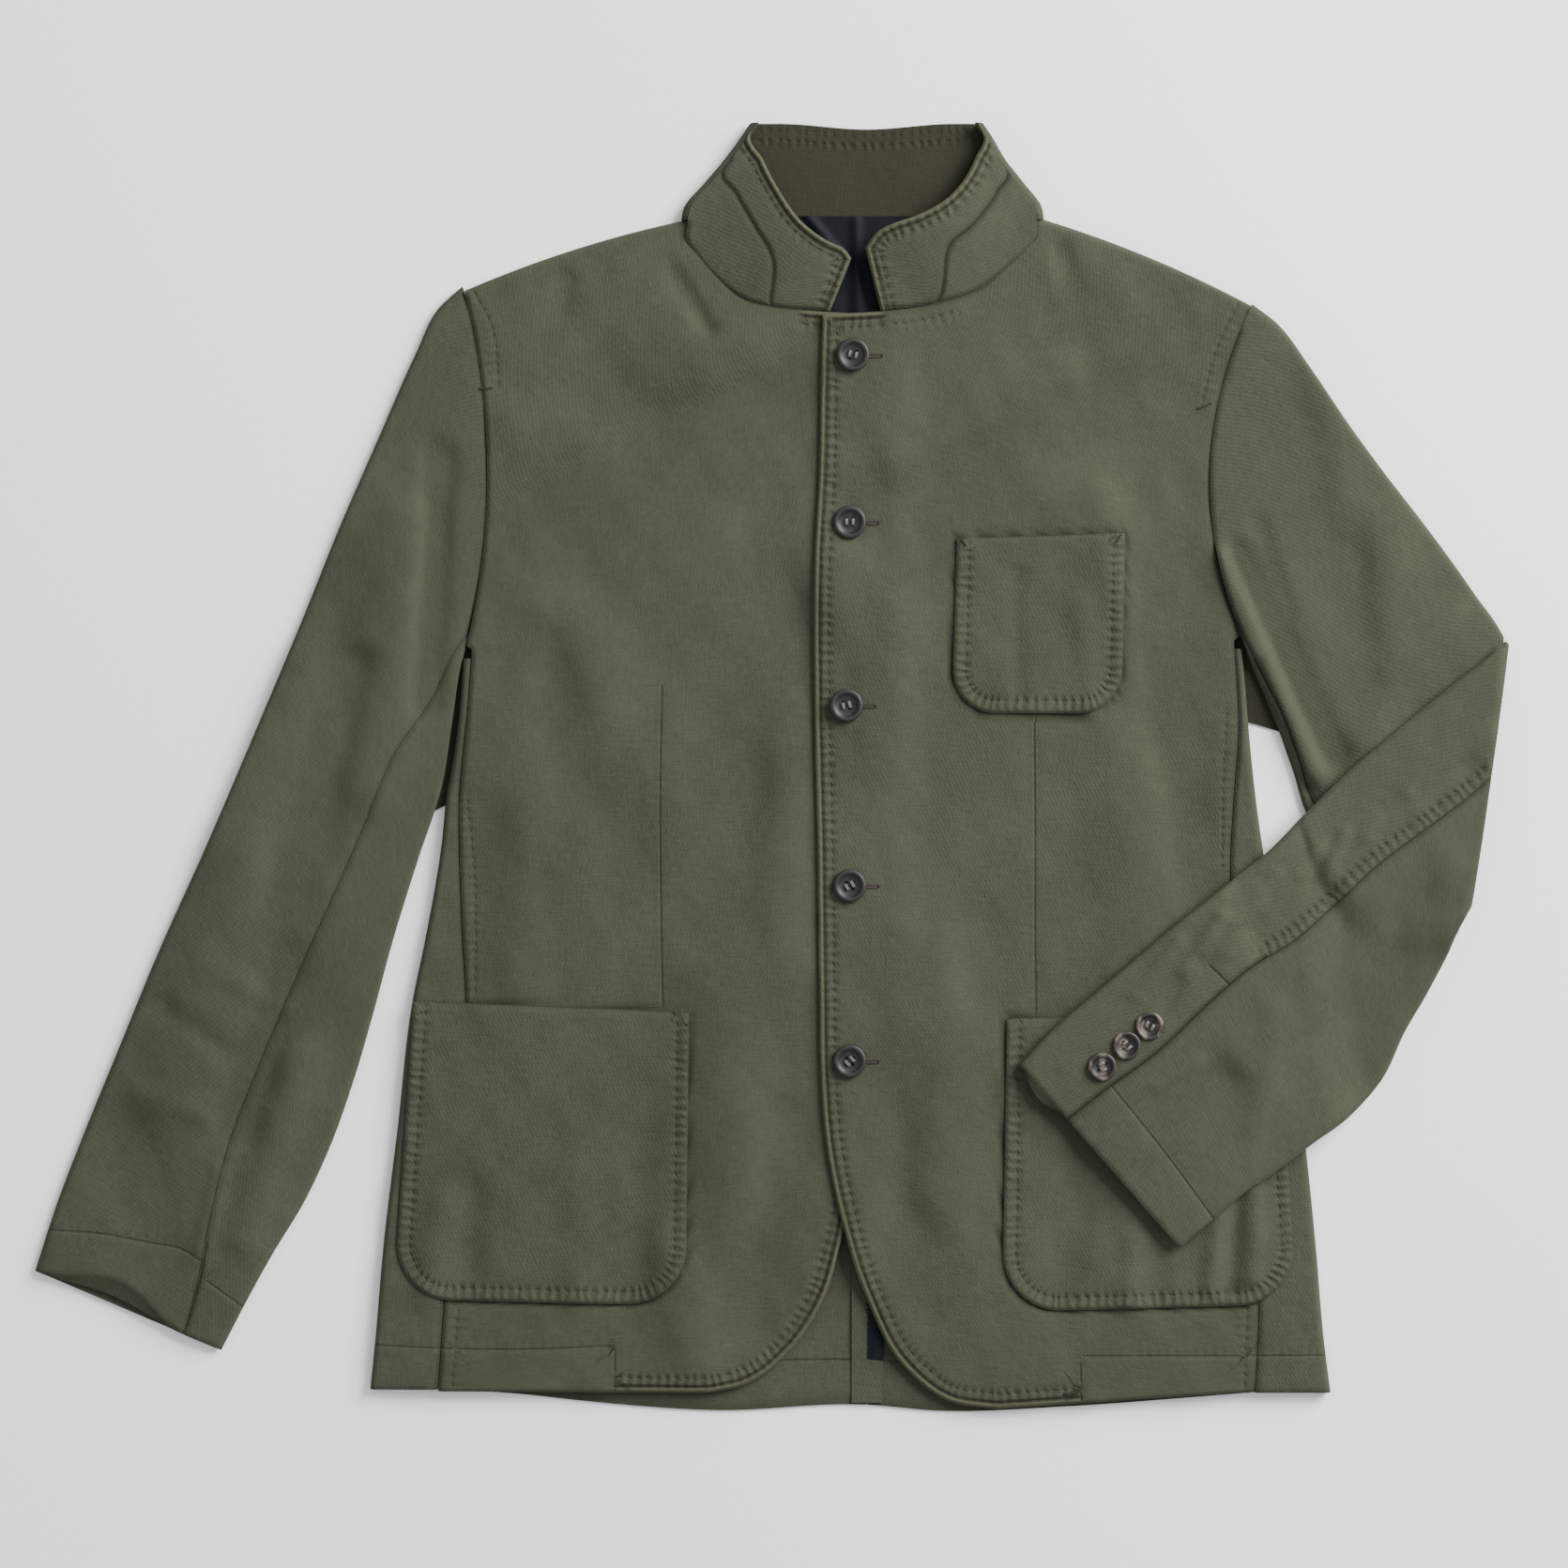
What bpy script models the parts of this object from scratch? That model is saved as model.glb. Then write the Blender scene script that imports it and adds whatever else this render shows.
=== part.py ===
"""A stand-collar blazer of garment-dyed cotton, laid flat on its back.

Sizes are in millimetres. +X is the wearer's left, +Y points from the hem to the collar, +Z up from the surface
that the blazer lies on. Every cloth piece is one sheet with a wall: its outer face is worked out from the tables
below, and its inner face lies one wall deeper. The left forearm is folded back over the front.
"""

import math

import bmesh
import bpy
import numpy as np
from mathutils import Matrix, Vector

MM = 0.001
GAP = 0.3
LIE_GAP = 0.6

# Walls, shell and lining together
BACK_WALL = 1.8
FRONT_WALL = 2.2
SIDE_WALL = 1.8
SLEEVE_WALL = 2.2
COLLAR_WALL = 2.2
POCKET_WALL = 1.4
LINING_WALL = 1.2

# Heights of the layers as they lie
BODY_LOFT = 7.6
LAP_RISE = FRONT_WALL + 0.8
LAP_START = 5.0
LAP_RUN = 28.0
COLLAR_LOFT = 9.6
FOREARM_SAG = 5.0
FOREARM_SAG_START = 12.0
FOREARM_SAG_RUN = 34.0
ROLL_STEPS = 4
EDGE_CROWDING = 1.5

# The centre back, and how far the hidden seams lie in from the folds. The side seam on the back curves in from the
# armhole over SIDE_TURN_RUN, and the neck's corners stand at shares of its half width
CENTRE_BACK = 59.0
NECK_SEAM_Y = 339.5
HIDDEN_GAP = 1.2
SHOULDER_TURN = 12.0
SIDE_TURN = 44.0
SIDE_TURN_AT_TOP = 7.0
SIDE_TURN_RUN = 90.0
UNDERARM_BLEND = 20.0
NECK_SEAM_SHARE = 0.70
NECK_CORNER_SHARE = 0.86
SLEEVE_UNDER_SHARE = 0.42

OLIVE = (0.105, 0.115, 0.072)
OLIVE_INSIDE = (0.085, 0.090, 0.056)
NAVY = (0.012, 0.017, 0.026)
HORN = (0.045, 0.040, 0.037)

# Armhole: its shoulder and underarm ends, and how far it bows into the body
ARMHOLE_LEFT = dict(top=(296.5, 286.0), bottom=(290.0, 80.0), bow=-23.0)
ARMHOLE_RIGHT = dict(top=(-191.0, 297.0), bottom=(-189.0, 74.0), bow=14.0)

# Front pieces from the neck to the hem. Columns: x and y of the neck and front edge, y at the armhole and side seam
FRONT_LEFT = (
    (168, 337, 285),
    (161, 322, 270),
    (145, 308, 251),
    (126, 294, 233),
    (101, 286, 216),
    (67, 281, 200),
    (31, 279, 184),
    (30, 242, 158),
    (29, 184, 126),
    (26, 126, 78),
    (26, 39, 28),
    (28, -48, -57),
    (29, -135, -141),
    (30, -193, -222),
    (33, -230, -274),
    (43, -280, -320),
    (58, -327, -349),
    (79, -367, -368),
    (109, -391, -379),
    (138, -396, -385),
)
FRONT_RIGHT = (
    (-58, 335, 294),
    (-50, 320, 271),
    (-33, 300, 248),
    (-16, 288, 225),
    (0, 284, 202),
    (19, 282, 178),
    (64, 279, 155),
    (67, 242, 126),
    (67, 184, 94),
    (67, 126, 68),
    (67, 39, 16),
    (67, -48, -57),
    (66, -135, -141),
    (64, -193, -210),
    (59, -222, -268),
    (43, -291, -320),
    (33, -325, -345),
    (12, -359, -367),
    (-17, -381, -378),
    (-39, -386, -385),
)
NECK_ROW = 5
FRONT_CORNER_ROW = 6

# Side bodies from the underarm to the hem. Columns: y, x of the seam to the front, x of the fold
SIDE_LEFT = (
    (73, 285.5, 290.2),
    (53, 287, 292),
    (28, 288, 294),
    (-21, 285, 299),
    (-57, 283, 304),
    (-141, 290, 315),
    (-222, 296, 328),
    (-297, 300, 336),
    (-355, 300, 341),
    (-386, 298, 345),
)
SIDE_RIGHT = (
    (67, -185.5, -190.4),
    (33, -188, -193),
    (10, -190.5, -196),
    (-19, -193, -201),
    (-48, -193, -204),
    (-106, -191, -214),
    (-145, -189, -222),
    (-222, -194, -231),
    (-297, -200, -240),
    (-355, -204, -245),
    (-384, -206, -248),
)

# The back's rows crowd at the underarm, where its side seam curves. Columns: share of the rows, share of the height
BACK_ROWS = ((0.0, 0.0), (0.22, 0.20), (0.66, 0.48), (1.0, 1.0))
BACK_ACROSS = 7
BACK_DOWN = 22

# The back's hem. Columns: x, y
BACK_HEM = (
    (-260, -382),
    (-204, -386),
    (-155, -389),
    (-115, -393),
    (-36, -398),
    (59, -394),
    (103, -398),
    (182, -396),
    (260, -391),
    (301, -388),
    (360, -384),
)

# Sleeves from the armhole on. Columns: outer edge x, y, inner edge x, y, bow, height, share of the seam
SLEEVE_RIGHT = (
    (-191, 297, -189, 74, 14, 7.6, 0.955),
    (-206, 283, -193, 57, 12, 8.0, 0.90),
    (-220, 255, -197, 30, 8, 8.2, 0.82),
    (-243, 203, -204, -13, 4, 8.2, 0.75),
    (-267, 148, -218, -56, 0, 8.2, 0.69),
    (-290, 91, -233, -104, 0, 8.2, 0.66),
    (-319, 22, -246, -152, 0, 8.2, 0.62),
    (-349, -48, -258, -193, 0, 8.2, 0.59),
    (-380, -117, -273, -235, 0, 8.0, 0.585),
    (-403, -173, -289, -269, 0, 8.0, 0.60),
    (-426, -229, -309, -302, 0, 7.8, 0.68),
    (-442, -271, -325, -331, 0, 7.6, 0.75),
    (-455, -311, -340, -360, 0, 7.4, 0.80),
)
SLEEVE_LEFT = (
    (296.5, 286, 290, 80, -23, 7.6, 0.955),
    (313, 273, 295.5, 64, -15, 8.0, 0.955),
    (333, 246, 303, 46, -7, 8.2, 0.955),
    (354, 215, 312, 25, 0, 8.2, 0.955),
    (378, 182, 322, -3, 0, 8.2, 0.955),
    (402, 151, 332, -32, 0, 8.2, 0.955),
    (422, 124, 358, -62, 0, 8.2, 0.955),
    (434, 104, 392, -78, 0, 8.0, 0.955),
    (441, 86, 424, -81, 0, 8.0, 0.955),
)
# The forearm folded back over it. The last column is the height of its underside
FOREARM = (
    (442, 72, 424, -86, 9.4, 7.4, 0.50),
    (416, 48, 416, -117, 9.4, 7.8, 0.46),
    (393, 29, 405, -138, 9.4, 8.0, 0.42),
    (358, 0, 390, -164, 9.4, 8.2, 0.38),
    (329, -28, 376, -193, 9.6, 8.2, 0.35),
    (303, -54, 355, -216, 10.2, 8.0, 0.33),
    (275, -76, 334, -231, 10.8, 7.8, 0.31),
    (248, -97, 313, -247, 11.0, 7.6, 0.32),
    (207, -132, 291, -262, 11.0, 7.4, 0.34),
    (173, -161, 270, -280, 11.0, 7.2, 0.32),
    (152, -183, 251, -296, 11.0, 7.0, 0.30),
)
# The fold at the elbow. Columns: x, y, height
FOREARM_FOLD = (
    (455, 78, 15.6),
    (452.5, 45, 16.8),
    (448, 0, 17.0),
    (444, -48, 17.0),
    (437, -84, 15.6),
)

# The collar's fold at each side, from the neck seam to the top edge. Columns: y, x left, x right of the wearer
COLLAR_FOLD = (
    (340.5, 169.5, -57.0),
    (346, 166.5, -54.0),
    (360, 156.0, -42.0),
    (376, 143.5, -28.5),
    (389, 136.0, -19.0),
    (397.4, 130.4, -13.4),
)
# Collar fronts, from the fold to the front end, a row for each row of the neckline.
# Columns: x and y of the free edge, its height, share of the stand piece, counted from the neckline
COLLAR_LEFT = (
    (129, 398, 10.4, 0.62),
    (126, 377, 13.0, 0.62),
    (108, 350, 17.0, 0.60),
    (91, 340, 18.5, 0.52),
    (74, 334, 18.5, 0.12),
    (56, 325, 16.0, 0.00),
)
COLLAR_RIGHT = (
    (-12, 398, 10.4, 0.62),
    (-6, 376, 13.0, 0.62),
    (4, 356, 15.5, 0.60),
    (19, 335, 17.0, 0.48),
    (36, 323, 16.0, 0.20),
    (51, 318, 12.5, 0.00),
)
COLLAR_END_LEFT = (67, 281.5)
COLLAR_END_RIGHT = (36, 281.5)

# Soft folds that lie in the cloth. Columns: x and y of one end, x and y of the other, half-width, height
BODY_FOLDS = (
    (-150, 240, 0, 120, 34, -0.9),
    (-120, 120, 10, 215, 28, 0.7),
    (-140, -10, -60, 90, 30, 0.6),
    (-90, -20, -80, -130, 18, -0.5),
    (0, 20, 5, -120, 20, -0.6),
    (110, 240, 240, 190, 30, -0.8),
    (100, 60, 160, -60, 26, 0.6),
    (240, 60, 262, -80, 20, -0.7),
    (100, -60, 105, -260, 20, 0.6),
    (-10, -230, -10, -340, 22, 0.6),
)
SLEEVE_FOLDS = (
    (-225, 150, -250, -10, 20, 0.8),
    (-260, 60, -300, -80, 18, -0.7),
    (-330, -60, -370, -200, 22, 0.8),
    (-400, -230, -380, -300, 18, -0.7),
    (312, 130, 345, -5, 13, 0.9),
    (300, 60, 330, -20, 10, -0.8),
    (350, 180, 380, 60, 20, -0.7),
    (340, -60, 420, 5, 14, 0.8),
    (260, -130, 330, -150, 16, -0.7),
)

# Patch pockets: corners seen from the front, and the radius of the lower ones
POCKETS = {
    "pocket_chest": dict(top=((114, 142), (218, 145)), bottom=((111, 33.5), (215.5, 33)), radius=24),
    "pocket_hip_right": dict(top=((-219, -145), (-51, -151)), bottom=((-233.5, -328), (-53, -332)), radius=32),
    "pocket_hip_left": dict(top=((145, -155), (312, -150)), bottom=((142, -336), (324, -331)), radius=32),
}

FRONT_BUTTONS = ((50, 254), (48, 151), (46, 38), (48, -73), (48, -181))
FRONT_BUTTON = 20.5
CUFF_BUTTONS = ((203, -184), (218, -171), (232, -159))
CUFF_BUTTON = 17.5
CUFF_BUTTON_REST = 19.0
# A button's turned profile. Columns: share of the radius, height
BUTTON_PROFILE = (
    (0.0, 0.0),
    (0.86, 0.0),
    (1.0, 1.2),
    (0.96, 2.9),
    (0.80, 3.4),
    (0.62, 2.0),
    (0.0, 1.7),
)
BUTTON_SIDES = 14
BUTTON_HOLE = 1.9
BUTTON_HOLE_PITCH = 3.4

VENT_STRIP = dict(left=49.3, right=58.5, bottom=-392.5, top=-150)
VENT_LINING = dict(left=59.2, right=69.0, bottom=-367, top=-300)


# Curves


def smooth(knots, values, at, corners=()):
    """A smooth curve through the values at the knots, read at the given places, sharp at the rows named in corners."""
    knots = np.asarray(knots, float)
    values = np.asarray(values, float)
    at = np.asarray(at, float)
    steps = np.diff(knots)
    slopes = np.diff(values, axis=0) / steps[:, None]
    share = (steps[1:] / (steps[:-1] + steps[1:]))[:, None]
    between = slopes[:-1] * share + slopes[1:] * (1 - share)
    leaving = np.vstack([slopes[:1], between])
    arriving = np.vstack([between, slopes[-1:]])
    for corner in corners:
        leaving[corner] = slopes[corner]
        arriving[corner - 1] = slopes[corner - 1]
    row = np.clip(np.searchsorted(knots, at, side="right") - 1, 0, len(steps) - 1)
    step = steps[row][..., None]
    s = (at[..., None] - knots[row][..., None]) / step
    return (
        (1 + 2 * s) * (1 - s) ** 2 * values[row]
        + s * (1 - s) ** 2 * step * leaving[row]
        + s**2 * (3 - 2 * s) * values[row + 1]
        - s**2 * (1 - s) * step * arriving[row]
    )


def along(rows, share, corners=(), measured=2):
    """A table's columns at a share of its rows. The first measured columns are points, which space the curve."""
    rows = np.asarray(rows, float)
    chords = np.linalg.norm(np.diff(rows[:, :measured], axis=0), axis=1)
    knots = np.concatenate([[0.0], np.cumsum(chords)])
    at = np.clip(share, 0, 1) * (len(rows) - 1)
    return smooth(knots, rows, np.interp(at, np.arange(len(rows)), knots), corners)


def by_height(rows, y):
    """The columns after the first of a table whose first column is y, falling from row to row."""
    rows = np.asarray(rows, float)
    return smooth(-rows[:, 0], rows[:, 1:], np.clip(-np.asarray(y, float), -rows[0, 0], -rows[-1, 0]))


def side_turn(side, y):
    """How far a side body's seam on the back lies in from the fold."""
    return SIDE_TURN_AT_TOP + (SIDE_TURN - SIDE_TURN_AT_TOP) * ease((side[0][0] - y) / SIDE_TURN_RUN)


def ease(t):
    """0 below 0 and 1 above 1, with a soft step between."""
    t = np.clip(t, 0, 1)
    return t * t * (3 - 2 * t)


def relief(x, y, folds):
    """The height that soft folds add at a place."""
    total = np.zeros_like(x)
    for x0, y0, x1, y1, half_width, height in folds:
        run = np.array([x1 - x0, y1 - y0])
        t = np.clip(((x - x0) * run[0] + (y - y0) * run[1]) / (run @ run), 0, 1)
        distance = np.hypot(x - x0 - t * run[0], y - y0 - t * run[1])
        total = total + height * np.exp(-((distance / half_width) ** 2))
    return total


# The lines that pieces share


def armhole_x(armhole, y):
    (x0, y0), (x1, y1) = armhole["top"], armhole["bottom"]
    s = np.clip((y0 - y) / (y0 - y1), 0, 1)
    return x0 + (x1 - x0) * s + armhole["bow"] * 4 * s * (1 - s)


def outer_line(armhole, side, y):
    """x of a front's outer edge: the armhole down to the underarm, the side seam below it."""
    return np.where(y >= armhole["bottom"][1], armhole_x(armhole, y), by_height(side, y)[..., 0])


def under_edge(y):
    """x of the right front's edge, which lies under the left front as far as the cutaway."""
    edge = np.array([(row[1], row[0]) for row in FRONT_RIGHT[FRONT_CORNER_ROW:-1]], float)
    return by_height(edge, y)[..., 0]


def body_top(x, y):
    return BODY_LOFT + relief(x, y, BODY_FOLDS)


def left_front_top(x, y):
    """The left front rises over the right one, and comes down beyond its edge."""
    return body_top(x, y) + LAP_RISE * (1 - ease((x - under_edge(y) - LAP_START) / LAP_RUN))


def fold_over(u, steps, d_top, d_bottom, height, depth):
    """A wall folded round an edge, from its top at u = 0 to its underside: how far in from the fold, and how high."""
    top, bottom = steps
    k = u * (top + ROLL_STEPS + bottom)
    radius = height / 2
    angle = math.pi * np.clip((k - top) / ROLL_STEPS, 0, 1)
    over = d_top + (radius - d_top) * np.clip(k / max(top, 1), 0, 1)
    under = radius + (d_bottom - radius) * np.clip((k - top - ROLL_STEPS) / bottom, 0, 1)
    rolled = radius - (radius - depth) * np.sin(angle)
    inward = np.where(k <= top, over, np.where(k >= top + ROLL_STEPS, under, rolled))
    return inward, radius + (radius - depth) * np.cos(angle)


# Solids


def material(name, colour, roughness):
    made = bpy.data.materials.new(name)
    made.use_nodes = True
    shader = made.node_tree.nodes["Principled BSDF"]
    shader.inputs["Base Color"].default_value = (*colour, 1.0)
    shader.inputs["Roughness"].default_value = roughness
    shader.inputs["Metallic"].default_value = 0.0
    return made


def place(name, bm, finish):
    mesh = bpy.data.meshes.new(name)
    bm.to_mesh(mesh)
    bm.free()
    mesh.materials.append(finish)
    mesh.shade_smooth()
    mesh.set_sharp_from_angle(angle=math.radians(40))
    made = bpy.data.objects.new(name, mesh)
    bpy.context.scene.collection.objects.link(made)
    made.parent = blazer
    return made


def cloth(name, across, down, surface, wall, colour=OLIVE):
    """One cloth piece: a grid laid on the outer face surface(u, v, 0), with its inner face at surface(u, v, wall)."""
    bm = bmesh.new()
    bmesh.ops.create_grid(bm, x_segments=across, y_segments=down, size=0.5)
    bmesh.ops.translate(bm, verts=bm.verts, vec=(0.5, 0.5, 0.0))
    raised = bmesh.ops.extrude_face_region(bm, geom=bm.faces[:], use_keep_orig=True)["geom"]
    outer = {item for item in raised if isinstance(item, bmesh.types.BMVert)}
    verts = list(bm.verts)
    u, v, _ = np.array([vert.co for vert in verts], float).T
    depth = np.array([0.0 if vert in outer else wall for vert in verts])
    for vert, point in zip(verts, np.stack(surface(u, v, depth), axis=-1)):
        vert.co = Vector(point) * MM
    bmesh.ops.recalc_face_normals(bm, faces=bm.faces)
    if bm.calc_volume(signed=True) < 0:
        bmesh.ops.reverse_faces(bm, faces=bm.faces)
    return place(name, bm, material(name + "_cloth", colour, 0.85))


def front(name, rows, armhole, side, top, across):
    """A front. It starts on the surface behind the shoulder, rolls over the shoulder and runs down to the hem."""
    turned_steps = 1
    rows_between = 2
    down = (len(rows) - 1) * rows_between
    total = turned_steps + ROLL_STEPS + down
    outward = np.sign(armhole["top"][0] - CENTRE_BACK)
    fall = np.array([-outward * (rows[0][1] - rows[0][2]), -abs(rows[0][0] - armhole["top"][0])])
    inwards = fall / np.linalg.norm(fall)

    def surface(u, v, depth):
        k = v * total
        share = np.clip((k - turned_steps - ROLL_STEPS) / down, 0, 1)
        found = along(rows, share, corners=(FRONT_CORNER_ROW,))
        turned = 1 - k / (turned_steps + ROLL_STEPS)
        inward, z = fold_over(turned, (0, turned_steps), BODY_LOFT / 2, SHOULDER_TURN, BODY_LOFT, depth)
        past_shoulder = np.clip(1 - share * (len(rows) - 1), 0, 1)
        inward = np.where(turned > 0, inward, BODY_LOFT / 2 * past_shoulder)
        start_x = found[..., 0] + inwards[0] * inward
        start_y = found[..., 1] + inwards[1] * inward
        end_y = found[..., 2] + inwards[1] * inward
        end_x = outer_line(armhole, side, end_y) - outward * GAP
        across_share = u**EDGE_CROWDING
        x = start_x + (end_x - start_x) * across_share
        y = start_y + (end_y - start_y) * across_share
        return x, y, np.where(turned > 0, z, top(x, y) - depth)

    cloth(name, across, total, surface, FRONT_WALL)


def side_body(name, rows):
    """A side body: from its seam on the front, round the fold, to its seam on the back."""
    outward = np.sign(rows[0][2] - CENTRE_BACK)
    steps = (3, 1)

    def surface(u, v, depth):
        found = along(rows, v, measured=1)
        y, seam, edge = found[..., 0], found[..., 1], found[..., 2]
        d_top = np.maximum(np.abs(edge - seam) - GAP / 2, BODY_LOFT / 2 + 0.6)
        inward, z = fold_over(u, steps, d_top, side_turn(rows, y), BODY_LOFT, depth)
        x = edge - outward * inward
        z = z + relief(x, y, BODY_FOLDS) * ease(z / BODY_LOFT - 0.3)
        return x, y, z

    cloth(name, steps[0] + ROLL_STEPS + steps[1], 2 * (len(rows) - 1), surface, SIDE_WALL)


def back_half(name, armhole, side, front_rows):
    """Half of the back, flat on the surface, from the neck and shoulder to the hem, between its four edges."""
    outward = np.sign(armhole["top"][0] - CENTRE_BACK)
    centre_x = CENTRE_BACK + outward * GAP / 2
    neck_x, neck_y, front_shoulder_y = front_rows[0]
    neck_half = abs(neck_x - CENTRE_BACK)
    shoulder_y = front_shoulder_y - SHOULDER_TURN - HIDDEN_GAP
    hem_y = side[-1][0]

    def side_edge(v):
        y = shoulder_y + (hem_y - shoulder_y) * v
        folded = by_height(side, y)[..., 1] - outward * (side_turn(side, y) + HIDDEN_GAP)
        on_armhole = armhole_x(armhole, y) - outward * HIDDEN_GAP
        return on_armhole + (folded - on_armhole) * ease((armhole["bottom"][1] - y) / UNDERARM_BLEND + 1), y

    def top_edge(u):
        x = centre_x + (side_edge(0.0)[0] - centre_x) * u
        corners = [NECK_SEAM_SHARE * neck_half, NECK_CORNER_SHARE * neck_half]
        knots = [0, *corners, abs(side_edge(0.0)[0] - CENTRE_BACK)]
        seam_y = NECK_SEAM_Y - GAP
        heights = [seam_y, seam_y, neck_y - SHOULDER_TURN - HIDDEN_GAP, shoulder_y]
        return x, np.interp(np.abs(x - CENTRE_BACK), knots, heights)

    def hem_edge(u):
        x = centre_x + (side_edge(1.0)[0] - centre_x) * u
        return x, smooth([row[0] for row in BACK_HEM], [row[1:] for row in BACK_HEM], x)[..., 0]

    def surface(u, v, depth):
        v = np.interp(v, *np.transpose(BACK_ROWS))
        point = []
        for axis in (0, 1):
            top, hem, edge = top_edge(u)[axis], hem_edge(u)[axis], side_edge(v)[axis]
            centre_top, centre_hem = top_edge(np.float64(0))[axis], hem_edge(np.float64(0))[axis]
            edge_top, edge_hem = side_edge(np.float64(0))[axis], side_edge(np.float64(1))[axis]
            hem = hem + (edge_hem - hem_edge(np.float64(1))[axis]) * u
            top = top + (edge_top - top_edge(np.float64(1))[axis]) * u
            centre = centre_top + (centre_hem - centre_top) * v
            corners = (1 - v) * ((1 - u) * centre_top + u * edge_top) + v * ((1 - u) * centre_hem + u * edge_hem)
            point.append((1 - v) * top + v * hem + (1 - u) * centre + u * edge - corners)
        return *point, depth

    cloth(name, BACK_ACROSS, BACK_DOWN, surface, BACK_WALL)


def sleeve(name, rows, from_outer, folds, support, across_top, rows_between, lift=0.0):
    """One of the two pieces of a sleeve's flattened tube: the top sleeve wraps the outer edge, the under sleeve the
    inner edge. support(x, y, share) is the height that its underside lies at, lift how far its mouth is drawn back."""
    steps = (across_top, 2)

    def surface(u, v, depth):
        found = along(rows, v, measured=4)
        outer, inner = found[..., 0:2], found[..., 2:4]
        bow, height, seam = found[..., 4], found[..., 5], found[..., 6]
        width = np.linalg.norm(inner - outer, axis=-1)
        across = (inner - outer) / width[..., None]
        if from_outer:
            d_top = seam * width - GAP / 2
            d_bottom = SLEEVE_UNDER_SHARE * width - GAP / 2
        else:
            d_top = np.maximum((1 - seam) * width - GAP / 2, height / 2 + 0.6)
            d_bottom = (1 - SLEEVE_UNDER_SHARE) * width - GAP / 2
        inward, z = fold_over(u, steps, d_top, d_bottom, height, depth)
        share = inward / width if from_outer else 1 - inward / width
        point = outer + across * (share * width)[..., None]
        x = point[..., 0] + bow * 4 * share * (1 - share)
        y = point[..., 1]
        drawn = lift * ease((v - 0.9) / 0.1) * ease(z / height * 2 - 1)
        drawn = drawn * np.sin(math.pi * np.clip(share / seam, 0, 1)) ** 2
        x = x - across[..., 1] * drawn
        y = y + across[..., 0] * drawn
        z = z + support(x, y, v) + relief(x, y, folds) * ease(z / height - 0.3)
        return x, y, z

    total = across_top + ROLL_STEPS + steps[1]
    cloth(name, total, (len(rows) - 1) * rows_between, surface, SLEEVE_WALL)


def on_the_surface(x, y, share):
    return np.zeros_like(x)


def on_the_body(x, y, share):
    """The forearm lies on the upper arm and the body, and sags where neither is under it."""
    base = along(FOREARM, share, measured=4)[..., 4]
    arm = np.array([(row[2], row[3]) for row in SLEEVE_LEFT[4:]], float)
    arm_edge = np.interp(x, arm[:, 0], arm[:, 1], left=arm[0, 1] + 60)
    past_arm = arm_edge - y
    past_body = x - by_height(SIDE_LEFT, y)[..., 1]
    return base - FOREARM_SAG * ease((np.minimum(past_arm, past_body) - FOREARM_SAG_START) / FOREARM_SAG_RUN)


def forearm_rows():
    """The forearm's rows with the columns of a sleeve: no bow in place of the height of the underside."""
    return tuple((*row[:4], 0.0, *row[5:]) for row in FOREARM)


def forearm_fold():
    """The cloth that runs round the fold, from the surface up to the top of the forearm."""
    steps = (1, 1)
    inner_reach = 10.4

    def surface(u, v, depth):
        found = along(FOREARM_FOLD, v)
        inward, z = fold_over(u, steps, inner_reach, inner_reach, found[..., 2], depth)
        return found[..., 0] - inward, found[..., 1], z

    cloth("forearm_fold", steps[0] + ROLL_STEPS + steps[1], 8, surface, SLEEVE_WALL)


def underarm(name, side, rows, y_top, y_bottom):
    """The corner of the under sleeve that lies on the surface between the sleeve and the body."""
    edge = np.array([(row[3], row[2]) for row in rows[:6]], float)

    def surface(u, v, depth):
        y = y_top + (y_bottom - y_top) * v
        body = by_height(side, y)[..., 1]
        arm = by_height(edge, y)[..., 0]
        return body + (arm - body) * u, y, LINING_WALL - depth

    cloth(name, 2, 6, surface, LINING_WALL, OLIVE_INSIDE)


def collar_back():
    """The back of the collar lies on the surface with its inside up. Its ends roll up to meet the collar fronts."""
    turned_in = COLLAR_LOFT / 2 + 0.6
    flat_steps = 10
    total = 2 * ROLL_STEPS + flat_steps + 2

    def surface(u, v, depth):
        y0, y1 = COLLAR_FOLD[0][0], COLLAR_FOLD[-1][0]
        y = y0 + (y1 - y0) * v
        rows = np.asarray(COLLAR_FOLD, float)
        found = smooth(rows[:, 0], rows[:, 1:], y)
        left, right = found[..., 0], found[..., 1]
        half = (left - right) / 2
        centre = (left + right) / 2
        mirrored = np.where(u > 0.5, 1 - u, u)
        steps = (1, flat_steps / 2)
        inward, z = fold_over(mirrored * total / (1 + ROLL_STEPS + flat_steps / 2), steps, turned_in, half, COLLAR_LOFT, depth)
        dip = 3.5 * ease(1 - np.abs(mirrored - 0.5) / 0.3) * v
        return centre + np.where(u > 0.5, 1, -1) * (half - inward), y - dip, z

    cloth("collar_back", total, 5, surface, COLLAR_WALL, OLIVE)


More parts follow.
